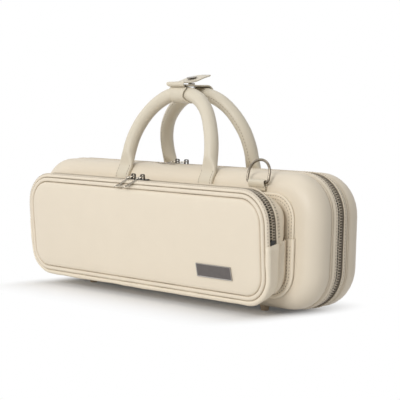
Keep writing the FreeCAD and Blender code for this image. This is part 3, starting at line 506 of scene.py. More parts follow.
leather_grain = leather_grain_group()
seam_shade_and_wear = seam_shade_and_wear_group()
weave = weave_group()


def leather(name, colour, pebbles=760, roughness=0.46, relief=0.00011):
    """Coated leather: fine pebble grain, slightly deeper tone in patches, and painted shade with some
    wear along the seams and folds.
    """
    material, tree, shader = new_material(name)
    grain = use(tree, leather_grain, Pebbles_per_metre=pebbles)
    seam_shade_and_wear_mask = use(tree, seam_shade_and_wear).outputs["Mask"]
    patches = grain.outputs["Patches"]
    tone = blend_colours(tree, patches, tint(colour, 0.86, 0.82, 0.76), tint(colour, 1.02, 0.99, 0.95))
    tone = blend_colours(tree, 0.72, tone, colour)
    # Painted shade along seams and folds, with some wear: the marked edges darken towards deep brown.
    tone = blend_colours(tree, calc(tree, "MULTIPLY", seam_shade_and_wear_mask, 0.78), tone, tint(colour, 0.50, 0.43, 0.34))
    rough = calc(tree, "MULTIPLY_ADD", patches, 0.16, roughness - 0.08)
    rough = calc(tree, "ADD", rough, calc(tree, "MULTIPLY", seam_shade_and_wear_mask, 0.12))
    coat(shader, Base_Color=tone, Roughness=rough, Specular_IOR_Level=0.38,
         Normal=bump(tree, grain.outputs["Height"], 0.55, relief))
    return material


def fabric(name, colour, threads=1800, roughness=0.85, relief=0.0002):
    """Woven tape or cloth with visible threads."""
    material, tree, shader = new_material(name)
    height = use(tree, weave, Threads_per_metre=threads).outputs["Height"]
    grain = use(tree, leather_grain)
    deep = tint(colour, 0.72)
    tone = blend_colours(tree, calc(tree, "MULTIPLY", height, 0.5), deep, colour)
    tone = blend_colours(tree, calc(tree, "MULTIPLY", grain.outputs["Patches"], 0.3), tone, deep)
    rough = calc(tree, "MULTIPLY_ADD", grain.outputs["Pores"], 0.1, roughness - 0.05)
    coat(shader, Base_Color=tone, Roughness=rough, Sheen_Weight=0.2,
         Normal=bump(tree, height, 0.6, relief))
    return material


def plush(name, colour):
    """Short pile: soft clumps, lighter tips and a strong sheen."""
    material, tree, shader = new_material(name)
    grain = use(tree, leather_grain, Pebbles_per_metre=420, Pore_depth=1.2)
    pores = grain.outputs["Pores"]
    tone = blend_colours(tree, pores, tint(colour, 0.6), tint(colour, 1.25))
    tone = blend_colours(tree, calc(tree, "MULTIPLY", grain.outputs["Patches"], 0.4), tone, colour)
    coat(shader, Base_Color=tone, Roughness=calc(tree, "MULTIPLY_ADD", pores, 0.1, 0.85),
         Sheen_Weight=0.6, Sheen_Roughness=0.4, Normal=bump(tree, grain.outputs["Height"], 0.8, 0.0006))
    return material


def metal(name, colour, roughness=0.16, tarnish=0.35, brushed=False):
    """Plated metal: clouded roughness, faint scratches and a little tarnish."""
    material, tree, shader = new_material(name)
    stretch = add(tree, "Mapping", Vector=own_place(tree), Scale=(1, 1, 30) if brushed else (1, 6, 14))
    scratches = texture(tree, "Noise", Vector=stretch.outputs["Vector"], Scale=420, Detail=5,
                        Roughness=0.7).outputs["Fac"]
    cloud = texture(tree, "Noise", Scale=260, Detail=3).outputs["Fac"]
    dulled = calc(tree, "MULTIPLY", calc(tree, "SMOOTH_MIN", cloud, 0.9, 0.1), tarnish)
    rough = calc(tree, "ADD", calc(tree, "MULTIPLY_ADD", scratches, 0.12, roughness),
                 calc(tree, "MULTIPLY", dulled, 0.2))
    coat(shader, Base_Color=blend_colours(tree, dulled, colour, tint(colour, 0.62, 0.58, 0.52)),
         Metallic=1, Roughness=rough, Normal=bump(tree, scratches, 0.25, 0.00004))
    return material


def moulded(name, colour, roughness=0.42, texture_scale=900):
    """Moulded plastic or board with a fine matt texture."""
    material, tree, shader = new_material(name)
    grain = use(tree, leather_grain, Pebbles_per_metre=texture_scale, Pore_depth=0.6)
    tone = blend_colours(tree, grain.outputs["Patches"], tint(colour, 0.78), colour)
    rough = calc(tree, "MULTIPLY_ADD", grain.outputs["Pores"], 0.18, roughness - 0.09)
    coat(shader, Base_Color=tone, Roughness=rough,
         Normal=bump(tree, grain.outputs["Height"], 0.4, 0.00008))
    return material


CREAM = (0.775, 0.693, 0.565)
cover_leather = leather("cover leather", CREAM)
panel_leather = leather("panel leather", (0.79, 0.708, 0.58), pebbles=820, relief=0.00009)
handle_leather = leather("handle leather", (0.70, 0.64, 0.52), pebbles=1000, relief=0.00006,
                         roughness=0.42)
gusset_leather = leather("gusset leather", (0.85, 0.765, 0.625), pebbles=430, relief=0.00032,
                         roughness=0.5)
piping_leather = leather("piping leather", (0.70, 0.615, 0.485), pebbles=1100, relief=0.00005)
thread = fabric("sewing thread", (0.44, 0.365, 0.265), threads=3200, roughness=0.6, relief=0.00006)
tape_cloth = fabric("zipper tape", (0.19, 0.16, 0.12), threads=1500)
lining_cloth = fabric("pocket lining", (0.45, 0.38, 0.29), threads=900)
plush_pile = plush("plush pile", (0.36, 0.28, 0.2))
teeth_metal = metal("zipper teeth metal", (0.58, 0.52, 0.43), roughness=0.2, tarnish=0.7)
# The nickel colours are set dark: partly the plating's own aged tone, partly painted shade standing in
# for the dark surroundings the metal would reflect.
nickel = metal("nickel plate", (0.24, 0.21, 0.17), roughness=0.12, tarnish=0.5)
bright_nickel = metal("bright nickel", (0.46, 0.42, 0.36), roughness=0.14, tarnish=0.5)
dark_nickel = metal("dark nickel", (0.10, 0.09, 0.08), roughness=0.2, tarnish=0.5)
dark_plate = metal("dark brushed plate", (0.17, 0.155, 0.15), roughness=0.34, brushed=True)
bright_rim = metal("plate rim", (0.42, 0.40, 0.38), roughness=0.28, brushed=True)
black_enamel = moulded("black enamel", (0.012, 0.012, 0.012), roughness=0.3)
foot_plastic = moulded("foot plastic", (0.70, 0.56, 0.41), roughness=0.35)
board_fibre = moulded("fibre board", (0.2, 0.18, 0.155), roughness=0.7, texture_scale=500)
core_cord = fabric("core cord", (0.3, 0.28, 0.25), threads=600)


def dress(node, material):
    """Give a CAD node's own object a better material."""
    piece = bpy.data.objects[frame["nodes"][node].name]
    for slot in piece.material_slots:
        slot.material = material


for node, material in (
        ("lid_board", board_fibre), ("back_board", board_fibre), ("pocket_panel_board", board_fibre),
        ("lid_feet", foot_plastic), ("back_feet", foot_plastic), ("flute_tray", plush_pile),
        ("front_d_ring", nickel), ("rear_d_ring", nickel), ("snap_cap", nickel),
        ("snap_socket", nickel), ("snap_stud", nickel), ("main_zipper_stops", nickel),
        ("main_slider_left", dark_nickel), ("main_slider_right", dark_nickel),
        ("pocket_slider_left", dark_nickel), ("pocket_slider_right", dark_nickel)):
    dress(node, material)


# ---------------------------------------------------------------- the two shells

case_heart = Vector((0, 0, 73.5))


def shell_pieces(side, half_name, body):
    """Leather cover, side band, piping, zipper half and lining of one shell."""
    crown = 0 if side == FRONT else 1
    rows = [(4, 12.7), (2.9, 13), (2, 13.35), (1.4, 14), (1.1, 15.2), (0.95, 17.2), (1, 19.2)]
    rows += arc_points(19, 20, 18, 180, 90, 8)
    for inset, rise in ((24, 0.25), (32, 0.55), (42, 0.8), (52, 0.95), (62, 1)):
        rows.append((inset, 38 + crown * rise))
    marks = [1, 1, 0.8, 0.4, 0.15] + [0] * (len(rows) - 5)
    cover = skin([case_loop(side, inset, d) for inset, d in rows], case_heart, cap_last=True, seam=marks)
    ruffle(cover, 0.45, 9, lambda p: max(0, 1 - (abs(p.y) - 13) / 5) if abs(p.y) < 18 else 0)
    ruffle(cover, 0.25, 40, lambda p: 1 if abs(p.y) < 37 else 0.3)
    finish_piece(half_name + "_cover_leather", cover, cover_leather, body, half_name + "_cover",
                 wall=1.3)

    rows = [(2.4, 5.7), (1.1, 5.2), (0.5, 5), (0.2, 5.25), (0.12, 5.9), (0.3, 6.6), (0.42, 6.9),
            (0.36, 7.3), (0.4, 8.2), (0.75, 9.4), (1.5, 10.5), (2.6, 11.2), (3.8, 11.4)]
    marks = [0.9, 0.7, 0.35, 0.1, 0, 0.3, 0.5, 0.3, 0, 0, 0.3, 0.8, 1]
    band = skin([case_loop(side, inset, d) for inset, d in rows], case_heart, seam=marks)
    ruffle(band, 0.2, 8, lambda p: 1 if abs(p.y) > 7.5 else 0.2)
    sew(half_name + "_band_stitches", band, [case_loop(side, 0.42, 6.9)], body, 3.4, 0.5)
    finish_piece(half_name + "_side_band_leather", band, cover_leather, body, half_name + "_side_band",
                 wall=1.2)

    rows = arc_points(2.1, 12.2, 1.15, 180, -180, 8)
    piping = skin([case_loop(side, inset, d) for inset, d in rows], closed=True)
    ruffle(piping, 0.12, 5)
    finish_piece(half_name + "_piping", piping, piping_leather, body, half_name + "_welt")

    rows = [(3.2, 1.4), (2.7, 2.6), (2.1, 3.9), (1.75, 4.7), (1.7, 5.3), (2.3, 6.4)]
    tape = skin([case_loop(side, inset, d) for inset, d in rows], case_heart)
    cut_away(tape, [((HINGE_HALF, 0, 0), (1, 0, 0)), ((-HINGE_HALF, 0, 0), (1, 0, 0))],
             lambda c: abs(c.x) < HINGE_HALF and c.z < 40)
    finish_piece(half_name + "_zipper_tape", tape, tape_cloth, body, "main_tape_" + half_name,
                 wall=0.6)
    teeth_row(half_name + "_zipper_teeth", case_loop(side, TEETH_INSET, 0), CASE, -side,
              lambda p: abs(p.x) > HINGE_HALF + 4.5 or p.z > 40, body, "main_teeth_" + half_name)

    lining = skin([case_loop(side, 7.35, d) for d in (5.25, 8, 13, 18, 20.9)], case_heart)
    ruffle(lining, 0.15, 14)
    finish_piece(half_name + "_plush_lining", lining, plush_pile, body, half_name + "_lining",
                 wall=1.1)


def tooth_pattern():
    """A zipper tooth: a shaped bar with a rounded head, lying across the tape."""
    shape = bmesh.new()
    bmesh.ops.create_cube(shape, size=1)
    for v in shape.verts:
        head = v.co.y > 0
        v.co = Vector((v.co.x * (1.05 if head else 0.8), v.co.y * TOOTH_REACH,
                       v.co.z * (2.2 if head else 2.6)))
    round_off(shape, shape.edges[:], 0.22, 1)
    return shape


def teeth_row(name, line, measures, way, keep, body, node, at=case_place):
    """Teeth of one half of a zipper, along a line; `way` is 1 or -1, towards the other half."""
    heading, outward = Vector((0, way, 0)), surround(measures)
    places = []
    for index, (p, _) in enumerate(along_loop(line, TOOTH_PITCH / 2)):
        if index % 2 == (way < 0) and keep(p):
            up = outward(p)
            matrix = Matrix((heading.cross(up).normalized(), heading, up)).transposed().to_4x4()
            matrix.translation = p + heading * TOOTH_MIDDLE
            places.append(matrix)
    finish_piece(name, copies(tooth_pattern(), places), teeth_metal, body, node,
                 smooth=False, at=at)


for side, half_name, body in ((FRONT, "lid", "lid"), (BACK, "back", "back_shell")):
    shell_pieces(side, half_name, body)


def hinge_leather():
    """Leather strip along the bottom on which the lid folds open."""
    rows = [(-4.8, 5.2), (-4, 4.95), (-2.4, 4.9), (0, 4.95), (2.4, 4.9), (4, 4.95), (4.8, 5.2)]
    shape = skin([[Vector((x * 15.95, y, z)) for x in range(-10, 11)] for y, z in rows],
                 Vector((0, 0, 50)), ring=False)
    piece = finish_piece("hinge_leather", shape, cover_leather, None, "hinge_strip",
                         wall=1.2)
    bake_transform(piece)


hinge_leather()


# ---------------------------------------------------------------- handles

def handle_stations(side, bow_left, bow_right):
    """Sections of a handle from one tab, over the arch, to the other tab."""
    lean = Vector((0, -side * math.sin(HANDLE_LEAN), math.cos(HANDLE_LEAN)))
    rear = Vector((0, math.cos(HANDLE_LEAN), side * math.sin(HANDLE_LEAN)))
    pivot = Vector((0, side * PIVOT_OUT, PIVOT_HEIGHT))
    leg = []
    for height, a, b in ((TAB_FOOT, 9, 1.6), (TAB_FOOT + 0.05, 9.7, 2), (TAB_FOOT + 0.6, 10, 2.3),
                         (EDGE_HEIGHT, 10, 2.4)):
        leg.append((Vector((0, side * (EDGE_OUT + TAB_TURN), height)), Vector((0, 0, 1)), a, b, 5, 0))
    for degrees in (8, 16, 24, 32, 38):
        angle = math.radians(degrees)
        centre = Vector((0, side * (EDGE_OUT + TAB_TURN * math.cos(angle)),
                         EDGE_HEIGHT + TAB_TURN * math.sin(angle)))
        tangent = Vector((0, -side * math.sin(angle), math.cos(angle)))
        leg.append((centre, tangent, 10, 2.4, 4.6, 0))
    for up, a, b, power, lift in ((0.3, 9.9, 2.6, 4, 0), (2.5, 9.7, 3.1, 3.5, 0.02),
                                  (5, 9.4, 3.9, 3, 0.04), (7.5, 8.9, 5, 2.6, 0.07),
                                  (10, 8.4, 6.1, 2.3, 0.1), (12.5, 7.9, 7, 2.1, 0.13),
                                  (15, 7.6, 7.4, 2, 0.15)):
        leg.append((pivot + lean * up, lean, a, b, power, lift))
    stations = []
    for centre, tangent, *section in leg:
        thin = Vector((-1, 0, 0)).cross(tangent).normalized()
        if thin.y < 0:
            thin = -thin
        stations.append((centre - Vector((HALF_SPAN, 0, 0)), Vector((-1, 0, 0)), thin, *section))
    base = pivot + lean * HANDLE_LEG
    sin_turn, cos_turn = math.sin(SHOULDER_ANGLE), math.cos(SHOULDER_ANGLE)
    spread = 1 - sin_turn - cos_turn
    shoulder = (HALF_SPAN * (1 - sin_turn) - ARCH_RISE * cos_turn) / spread
    crown = (ARCH_RISE * (1 - cos_turn) - HALF_SPAN * sin_turn) / spread
    arc = []
    for k in range(1, 11):
        angle = SHOULDER_ANGLE * k / 10
        arc.append((-HALF_SPAN + shoulder * (1 - math.cos(angle)), shoulder * math.sin(angle), angle))
    for k in range(1, 21):
        angle = SHOULDER_ANGLE + (math.pi - 2 * SHOULDER_ANGLE) * k / 20
        arc.append((-crown * math.cos(angle), ARCH_RISE - crown + crown * math.sin(angle), angle))
    for x, up, angle in reversed(arc[:9]):
        arc.append((-x, up, math.pi - angle))
    for x, up, angle in arc:
        wide = Vector((-math.cos(angle), 0, 0)) + lean * math.sin(angle)
        stations.append((base + Vector((x, 0, 0)) + lean * up, wide, rear, HANDLE_RADIUS, HANDLE_RADIUS,
                         2, 0.15))
    for centre, wide, *section in reversed(stations[:len(leg)]):
        stations.append((Vector((-centre.x, centre.y, centre.z)), -wide, *section))
    for centre, *_ in stations:
        height = max(0, min(1, (centre.z - 136) / 90))
        centre.x += (bow_left if centre.x < 0 else bow_right) * math.sin(math.pi * height) ** 2
    return stations, len(leg)


def handle(side, name, parent, bow_left=0, bow_right=0):
    stations, leg = handle_stations(side, bow_left, bow_right)
    own_body = name + "_handle_body"
    shape = strap(stations, count=36)
    ruffle(shape, 0.3, 16, lambda p: 1 if p.z > 150 else 0.25)
    seam = [centre + (wide * 0.26 * a / HANDLE_RADIUS - thin * 0.985 * side) * (b + 0.15)
            for centre, wide, thin, a, b, *_ in stations[leg - 5:len(stations) - leg + 5]]
    sew(name + "_handle_stitches", shape, [seam], own_body, 3.6, 0.6, closed=False)
    rows = [[Vector((end * HALF_SPAN + x, centre.y + side * 4, centre.z))
             for centre, *_ in stations[3:leg - 6]] for end in (-1, 1) for x in (-8.2, 8.2)]
    sew(name + "_tab_stitches", shape, rows, parent, 3.2, 0.55, closed=False)
    piece = finish_piece(name + "_handle_leather", shape, handle_leather, None,
                         "%s_handle %s_handle_tabs" % (name, name))
    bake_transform(piece)
    core = strap([(*station[:3], CORD_RADIUS, CORD_RADIUS, 2, 0)
                  for station in stations[leg:len(stations) - leg]], count=16)
    ruffle(core, 0.25, 4)
    finish_piece(name + "_handle_cord", core, core_cord, own_body, name + "_handle_core")


handle(FRONT, "front", "lid", bow_right=-4.6)
handle(BACK, "rear", "back_shell", bow_left=-2.4)


# ---------------------------------------------------------------- wrap round the handles

def strip(points, widths, thickness=WRAP_THICKNESS):
    """A leather strip along a line of (y, z) places."""
    stations = []
    for index, (y, z) in enumerate(points):
        before = points[max(index - 1, 0)]
        after = points[min(index + 1, len(points) - 1)]
        tangent = Vector((0, after[0] - before[0], after[1] - before[1])).normalized()
        thin = Vector((1, 0, 0)).cross(tangent).normalized()
        end = index in (0, len(points) - 1)
        half = widths[index] / 2 - (0.5 if end else 0)
        stations.append((Vector((0, y, z)), Vector((1, 0, 0)), thin, half,
                         thickness / 2 * (0.6 if end else 1), 8, 0))
    return strap(stations)


def wrap():
    """Collar round the front grip, strip round the rear grip, and the flap that snaps over both."""
    centre = GRIP_HEIGHT - 0.45
    radius = 9.45
    front = [(-0.2, centre - radius), (-4, centre - radius), (-8, centre - radius)]
    front += arc_points(-GRIP_OUT, centre, radius, 270, 135, 16)
    widths = [WRAP_WIDTH] * 3 + [WRAP_WIDTH - 7 * math.sin(math.pi * k / 16) ** 2 for k in range(17)]
    finish_piece("wrap_collar", strip(front, widths), handle_leather, "front_handle_body",
                 "wrap_front_tab")
    top = centre + radius
    rear = [(0.2, centre - radius), (4, centre - radius), (8, centre - radius)]
    rear += arc_points(GRIP_OUT, centre, radius, -90, 90, 20)
    rear += [(9, top - 0.3), (4.5, top - 0.5), (0, top - 0.55), (-5, top - 0.5),
             (-10, top - 0.45), (-15, top - 0.45), (-19.5, top - 0.45)]
    finish_piece("wrap_rear_strip", strip(rear, [WRAP_WIDTH] * len(rear)), handle_leather,
                 "rear_handle_body", "wrap_rear_tab")
    flap = [(-21, 225.9), (-23, 226.5), (-24.8, 227.4), (-25.6, 228.6), (-24.9, 229.7),
            (-22.8, 230.1), (-19, 230.3), (-14, 230.6), (-9, 231.3), (-4.5, 232.4), (0, 234),
            (4.5, 235.6), (9, 236.9), (13.5, 237.9), (18, 238.9), (22.4, 239.8)]
    widths = [22, 24, 25, 25.6, 25.6] + [25] * 6 + [25, 24, 22.5, 20, 15]
    piece = finish_piece("wrap_flap_leather", strip(flap, widths), handle_leather, None, "wrap_flap")
    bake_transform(piece)


wrap()


# ---------------------------------------------------------------- strap ring tabs

def ring_tab(side, x, name, body):
    """Leather strap folded round the ring's bar."""
    bar = Vector((0, side * RING_BAR_OUT, RING_BAR_HEIGHT))
    back = [(-2.35, TAB_FOOT - RING_BAR_HEIGHT), (-2.35, -4), (-2.35, 0)]
    loop = arc_points(0, 0, 2.35, 180, 0, 10)[1:]
    front = [(2.2, -1.5), (1.3, -3.4), (0.2, -5), (-0.6, -6.6), (-0.8, TAB_FOOT - RING_BAR_HEIGHT)]
    path = [(side * y + bar.y, z + bar.z) for y, z in back + loop + front]
    shape = strip(path, [21] * len(path), 1.25)
    across = [Vector((k - 9, side * 44, 125.4)) for k in range(19)]
    here = Matrix.Translation((x, SHIFT, 0))
    sew(name + "_ring_stitches", shape, [across], body, 3, 0.5, closed=False, at=here)
    finish_piece(name + "_ring_leather", shape, handle_leather, body, name + "_ring_tab",
                 at=here)


ring_tab(FRONT, RING_X, "front", "lid")
ring_tab(BACK, -RING_X, "rear", "back_shell")


# ---------------------------------------------------------------- front pocket

pocket_heart, gusset_heart = Vector((0, 30, 57)), Vector((0, -50, 70))


def pocket_piece(name, rows, marks, node, depth, cap=False, sewn=None):
    """A leather part of the pocket's panel, drawn through loops of (inset, depth)."""
    shape = skin([pocket_loop(inset, y) for inset, y in rows], pocket_heart, cap_last=cap, seam=marks)
    ruffle(shape, depth, 30)
    if sewn:
        sew(name.replace("leather", "stitches"), shape, [pocket_loop(*sewn)], "pocket_panel", 3.2, 0.5,
            at=pocket_place)
    return finish_piece(name, shape, panel_leather, "pocket_panel", node, wall=1.2,
                        at=pocket_place)


def pocket_flange():
    """Stitched leather rim that carries the pocket on the lid."""
    rows = [(0.9, 38.1), (0.6, 38.6), (0.6, 39.5), (0.95, 40), (1.6, 40.2), (2.6, 40.15),
            (3.2, 40), (3.8, 40.15), (5.8, 40.25), (6.4, 40.05), (7, 40.2), (10.5, 40.45),
            (13.5, 40.1), (17.9, 40)]
    marks = [0.6, 0.4, 0.2, 0, 0, 0.2, 0.4, 0.2, 0.2, 0.4, 0.2, 0.5, 0.9, 1]
    shape = skin([flange_loop(inset, d) for inset, d in rows], case_heart, seam=marks)
    ruffle(shape, 0.35, 8)
    sew("flange_stitches", shape, [flange_loop(inset, 40.2) for inset in (3.2, 6.4)], "lid", 3.3, 0.62)
    finish_piece("flange_leather", shape, gusset_leather, "lid", "pocket_flange",
                 wall=1.2)
    back = skin([flange_loop(18, 38.4), flange_loop(30, 38.5), flange_loop(45, 38.45)],
                case_heart, cap_last=True)
    finish_piece("pocket_back_cloth", back, lining_cloth, "lid", "pocket_back_lining",
                 wall=0.4)


def leaning_loop(inset, y):
    """A loop of the pocket's panel in the case's own frame."""
    return [lean_forward @ p for p in pocket_loop(inset, y)]


def blended(first, last, share):
    return [a.lerp(b, share) for a, b in zip(first, last)]


def end_part(x):
    """How much a place belongs to the ends of the pocket: 0 in the middle, 1 at an end."""
    return min(1, max(0, (abs(x) - 145) / 28))


def open_line(points, keep):
    """The part of a loop that `keep` picks, in order from its one gap."""
    kept = [p for p in points if keep(p)]
    gap = max(range(len(kept)), key=lambda i: (kept[i] - kept[i - 1]).length)
    return kept[gap:] + kept[:gap]


def upper_gusset():
    """Leather wall over the top and halfway down the ends, with a deep fold at the flange."""
    def fold(p):
        share = (-40.5 - p.y) / 18
        swelling = math.exp(-((share - 0.5) / 0.3) ** 2)
        crease = math.exp(-((share - 0.1) / 0.1) ** 2)
        return end_part(p.x) * (1.5 * swelling - 1.2 * crease)

    rear, fore = flange_loop(11, 41), leaning_loop(0, 15.6)
    loops = [flange_loop(14, 40.4), flange_loop(13.6, 41), flange_loop(12.6, 41.9)]
    loops += [blended(rear, fore, share)
              for share in (0.16, 0.26, 0.36, 0.46, 0.56, 0.66, 0.76, 0.88, 1)]
    loops += [leaning_loop(0.12, 15), leaning_loop(0.9, 14.75), leaning_loop(2.1, 15)]
    marks = [1, 1, 0.9, 0.6, 0.3, 0.1, 0, 0, 0, 0, 0.15, 0.3, 0.3, 0.6, 0.9]
    shape = skin(loops, gusset_heart, seam=marks)
    push(shape, fold)
    ruffle(shape, 0.7, 13, lambda p: 0.2 if p.y < -58 else 1)
    foot = lean_forward @ Vector((0, 14, POCKET_ZIPPER_END - 0.6))
    cut_away(shape, [(foot, (0, 0, 1))], lambda c: c.z < foot.z)
    lines = [open_line(leaning_loop(-0.6, y), lambda p: p.z > 78) for y in (17.4, 20)]
    sew("upper_gusset_stitches", shape, lines, "lid", 3.3, 0.6, closed=False)
    finish_piece("upper_gusset_leather", shape, gusset_leather, "lid", "pocket_gusset_upper",
                 wall=1.3)


def lower_gusset():
    """Bellows under the zipper, sewn over the flange."""
    def fold(p):
        share = (-42 - p.y) / 24
        if share <= 0:
            return 0
        crease = math.exp(-((share - 0.42) / 0.12) ** 2)
        swelling = math.sin(math.pi * min(1, share / 0.85))
        return (1.8 * swelling - 4.2 * crease) * (0.2 + 0.8 * end_part(p.x))

    rear, fore = flange_loop(6.5, 41.4), leaning_loop(-0.7, 4.6)
    loops = [flange_loop(inset, d) for inset, d in
             ((-0.3, 38.3), (-0.9, 38.9), (-1, 40), (-0.6, 40.9), (0.4, 41.35), (2.2, 41.4),
              (3, 41.2), (3.8, 41.4), (5.6, 41.45), (6.4, 41.25), (7.2, 41.3), (10.4, 41.2),
              (10.2, 42.2))]
    loops += [blended(rear, fore, share)
              for share in (0.14, 0.24, 0.34, 0.42, 0.48, 0.54, 0.62, 0.72, 0.84, 0.94, 1)]
    loops += [leaning_loop(inset, y) for inset, y in ((-0.5, 3.2), (0.2, 2), (1.4, 1.2), (2.8, 0.9),
                                                      (3.9, 1.1), (4.4, 1.7), (4.5, 2.6))]
    marks = [0.5, 0.3, 0.1, 0, 0, 0.1, 0.3, 0.1, 0.1, 0.3, 0.2, 0.8, 1,
             0.6, 0.2, 0, 0.3, 0.5, 0.3, 0, 0, 0, 0, 0, 0, 0, 0, 0, 0.2, 0.6, 0.9]
    shape = skin(loops, gusset_heart, seam=marks)
    push(shape, fold)
    ruffle(shape, 0.7, 15, lambda p: 1 if p.y < -43 else 0.4)
    low, high = lean_forward @ Vector((0, 2, POCKET_ZIPPER_END - 1.2)), Vector((0, -40.5, 78))
    slope = Vector((0, low.z - high.z, high.y - low.y)).normalized()
    cut_away(shape, [(low, slope)], lambda c: (c - low).dot(slope) > 0)
    lines = [open_line(flange_loop(inset, 41.6), lambda p: p.z < 73) for inset in (3, 6.4)]
    sew("lower_flange_stitches", shape, lines, "lid", 3.3, 0.62, closed=False)
    piece = finish_piece("lower_gusset_leather", shape, gusset_leather, None, "pocket_gusset_lower",
                         wall=1.1)
    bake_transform(piece)


def pocket_zipper():
    for half_name, way, body, rows in (
            ("front", 1, "pocket_panel", ((2.1, 4.9), (2, 5.6), (2.3, 6.6), (2.9, 7.9))),
            ("rear", -1, "lid", ((2.9, 11.7), (2.3, 13), (1.9, 14.2), (2, 15.1)))):
        tape = skin([pocket_loop(inset, y) for inset, y in rows], pocket_heart)
        cut_away(tape, [((0, 0, POCKET_ZIPPER_END), (0, 0, 1))], lambda c: c.z < POCKET_ZIPPER_END)
        finish_piece("pocket_%s_tape_cloth" % half_name, tape, tape_cloth, body,
                     "pocket_tape_" + half_name, wall=0.6, at=pocket_place)
        teeth_row("pocket_%s_zipper_teeth" % half_name, pocket_loop(POCKET_TEETH_INSET, ZIPPER_Y),
                  POCKET, way, lambda p: p.z > 65.8, body, "pocket_teeth_" + half_name, pocket_place)
    stops = bmesh.new()
    for end in (-1, 1):
        made = bmesh.ops.create_cube(stops, size=1)["verts"]
        bmesh.ops.scale(stops, vec=(2.6, 7.4, 4.6), verts=made)
        bmesh.ops.translate(stops, vec=(end * 180.3, ZIPPER_Y + 0.3, 63.4), verts=made)
    round_off(stops, stops.edges[:], 0.5, 2)
    finish_piece("pocket_stop_blocks", stops, black_enamel, "lid", "pocket_zipper_stops",
                 at=pocket_place)


def pocket_panel():
    """Padded face inside a rolled border and a sewn band."""
    pocket_piece("pocket_border_roll",
                 [(4.8, 3), (4.75, 1.9), (5.1, 1), (5.9, 0.3), (7, 0.05), (8.1, 0.2), (8.9, 0.75),
                  (9.35, 1.6), (9.4, 2.8)],
                 [0.9, 0.6, 0.2, 0, 0, 0, 0.2, 0.6, 0.9],
                 "pocket_border", 0.15)
    pocket_piece("pocket_band_leather",
                 [(4.7, 3.2), (4.5, 2.2), (4, 1.6), (3.2, 1.4), (2.1, 1.7), (1, 2.5), (0.35, 3.5),
                  (0.1, 4.3), (0.3, 4.8), (1.6, 4.85)],
                 [0.9, 0.5, 0.2, 0, 0, 0.1, 0.25, 0.3, 0.5, 0.7],
                 "pocket_front_band", 0.15, sewn=(1, 2.5))
    face = pocket_piece("pocket_panel_padding",
                        [(9.5, 2.8), (9.6, 1.6), (10, 0.7), (10.8, 0), (12.2, -0.5), (14.5, -0.9),
                         (19, -1.2), (26, -1.45), (35, -1.6), (45, -1.7), (54, -1.75)],
                        [0.9, 0.6, 0.2, 0, 0, 0, 0, 0, 0, 0, 0],
                        "pocket_panel_face", 0.2, cap=True)


def nameplate():
    """Bare dark plate with a bright rim."""
    shape = bmesh.new()
    corners = bmesh.ops.create_grid(shape, x_segments=1, y_segments=1, size=1)["verts"]
    for v in corners:
        slant = -v.co.y * 1
        v.co = Vector((112 + v.co.x * 24 + slant, -1.75, 30 + v.co.y * 6.75))
    round_off(shape, corners, 0.8, 3, "VERTICES")
    made = bmesh.ops.extrude_face_region(shape, geom=shape.faces[:])["geom"]
    front = [g for g in made if isinstance(g, bmesh.types.BMFace)]
    bmesh.ops.translate(shape, vec=(0, -1.1, 0), verts=[v for f in front for v in f.verts])
    bmesh.ops.inset_region(shape, faces=front, thickness=0.9)
    bmesh.ops.translate(shape, vec=(0, 0.25, 0), verts=[v for f in front for v in f.verts])
    bmesh.ops.recalc_face_normals(shape, faces=shape.faces)
    for f in shape.faces:
        f.material_index = 1
    for f in front:
        f.material_index = 0
    piece = finish_piece("nameplate_metal", shape, dark_plate, "pocket_panel", "nameplate",
                         smooth=False, rounding=0.15, at=pocket_place)
    piece.data.materials.append(bright_rim)


pocket_flange()
upper_gusset()
lower_gusset()
pocket_panel()
pocket_zipper()
nameplate()


# ---------------------------------------------------------------- pulls

def pull_shape(bend):
    """Pierced metal pull: its eye at the origin, its tip along +x, its plate hanging by `bend`."""
    plate = bmesh.new()
    cells = bmesh.ops.create_grid(plate, x_segments=6, y_segments=3, size=1)["verts"]
    for v in cells:
        reach = (v.co.x + 1) / 2
        half = 3.9 - 1.3 * abs(reach - 0.62) ** 1.4 * 1.8
        v.co = Vector((7.2 + 13.6 * reach, v.co.y * half, 0))
    bmesh.ops.triangulate(plate, faces=plate.faces[:])
    bmesh.ops.inset_individual(plate, faces=plate.faces[:], thickness=0.42)
    holes = [f for f in plate.faces if len(f.verts) == 3]
    bmesh.ops.delete(plate, geom=holes, context="FACES_ONLY")
    bmesh.ops.solidify(plate, geom=plate.faces[:], thickness=0.9)
    bmesh.ops.translate(plate, vec=(0, 0, -0.45), verts=plate.verts)
    rings, upward = [], Vector((0, 0, 1))
    for x, rx, ry, wire in ((2.5, 2.9, 3.3, 0.62), (5.8, 1.7, 2.6, 0.6), (22.1, 1.75, 1.75, 0.5)):
        ring = []
        for k in range(21):
            angle = 2 * math.pi * k / 20
            ring.append(Vector((x + rx * math.cos(angle), ry * math.sin(angle), 0)))
        stations = []
        for k, p in enumerate(ring):
            tangent = (ring[(k + 1) % 20] - ring[(k - 1) % 20]).normalized()
            stations.append((p, upward, tangent.cross(upward), wire, wire, 2, 0))
        loop = strap(stations, count=8, cap=False)
        bmesh.ops.remove_doubles(loop, verts=loop.verts, dist=1e-3)
        bmesh.ops.recalc_face_normals(loop, faces=loop.faces)
        rings.append(loop)
    whole = joined(plate, *rings)
    plate_side = [v for v in whole.verts if v.co.x > 6.8]
    bmesh.ops.rotate(whole, cent=(6.8, 0, 0), matrix=Matrix.Rotation(bend, 3, "Y"), verts=plate_side)
    return whole


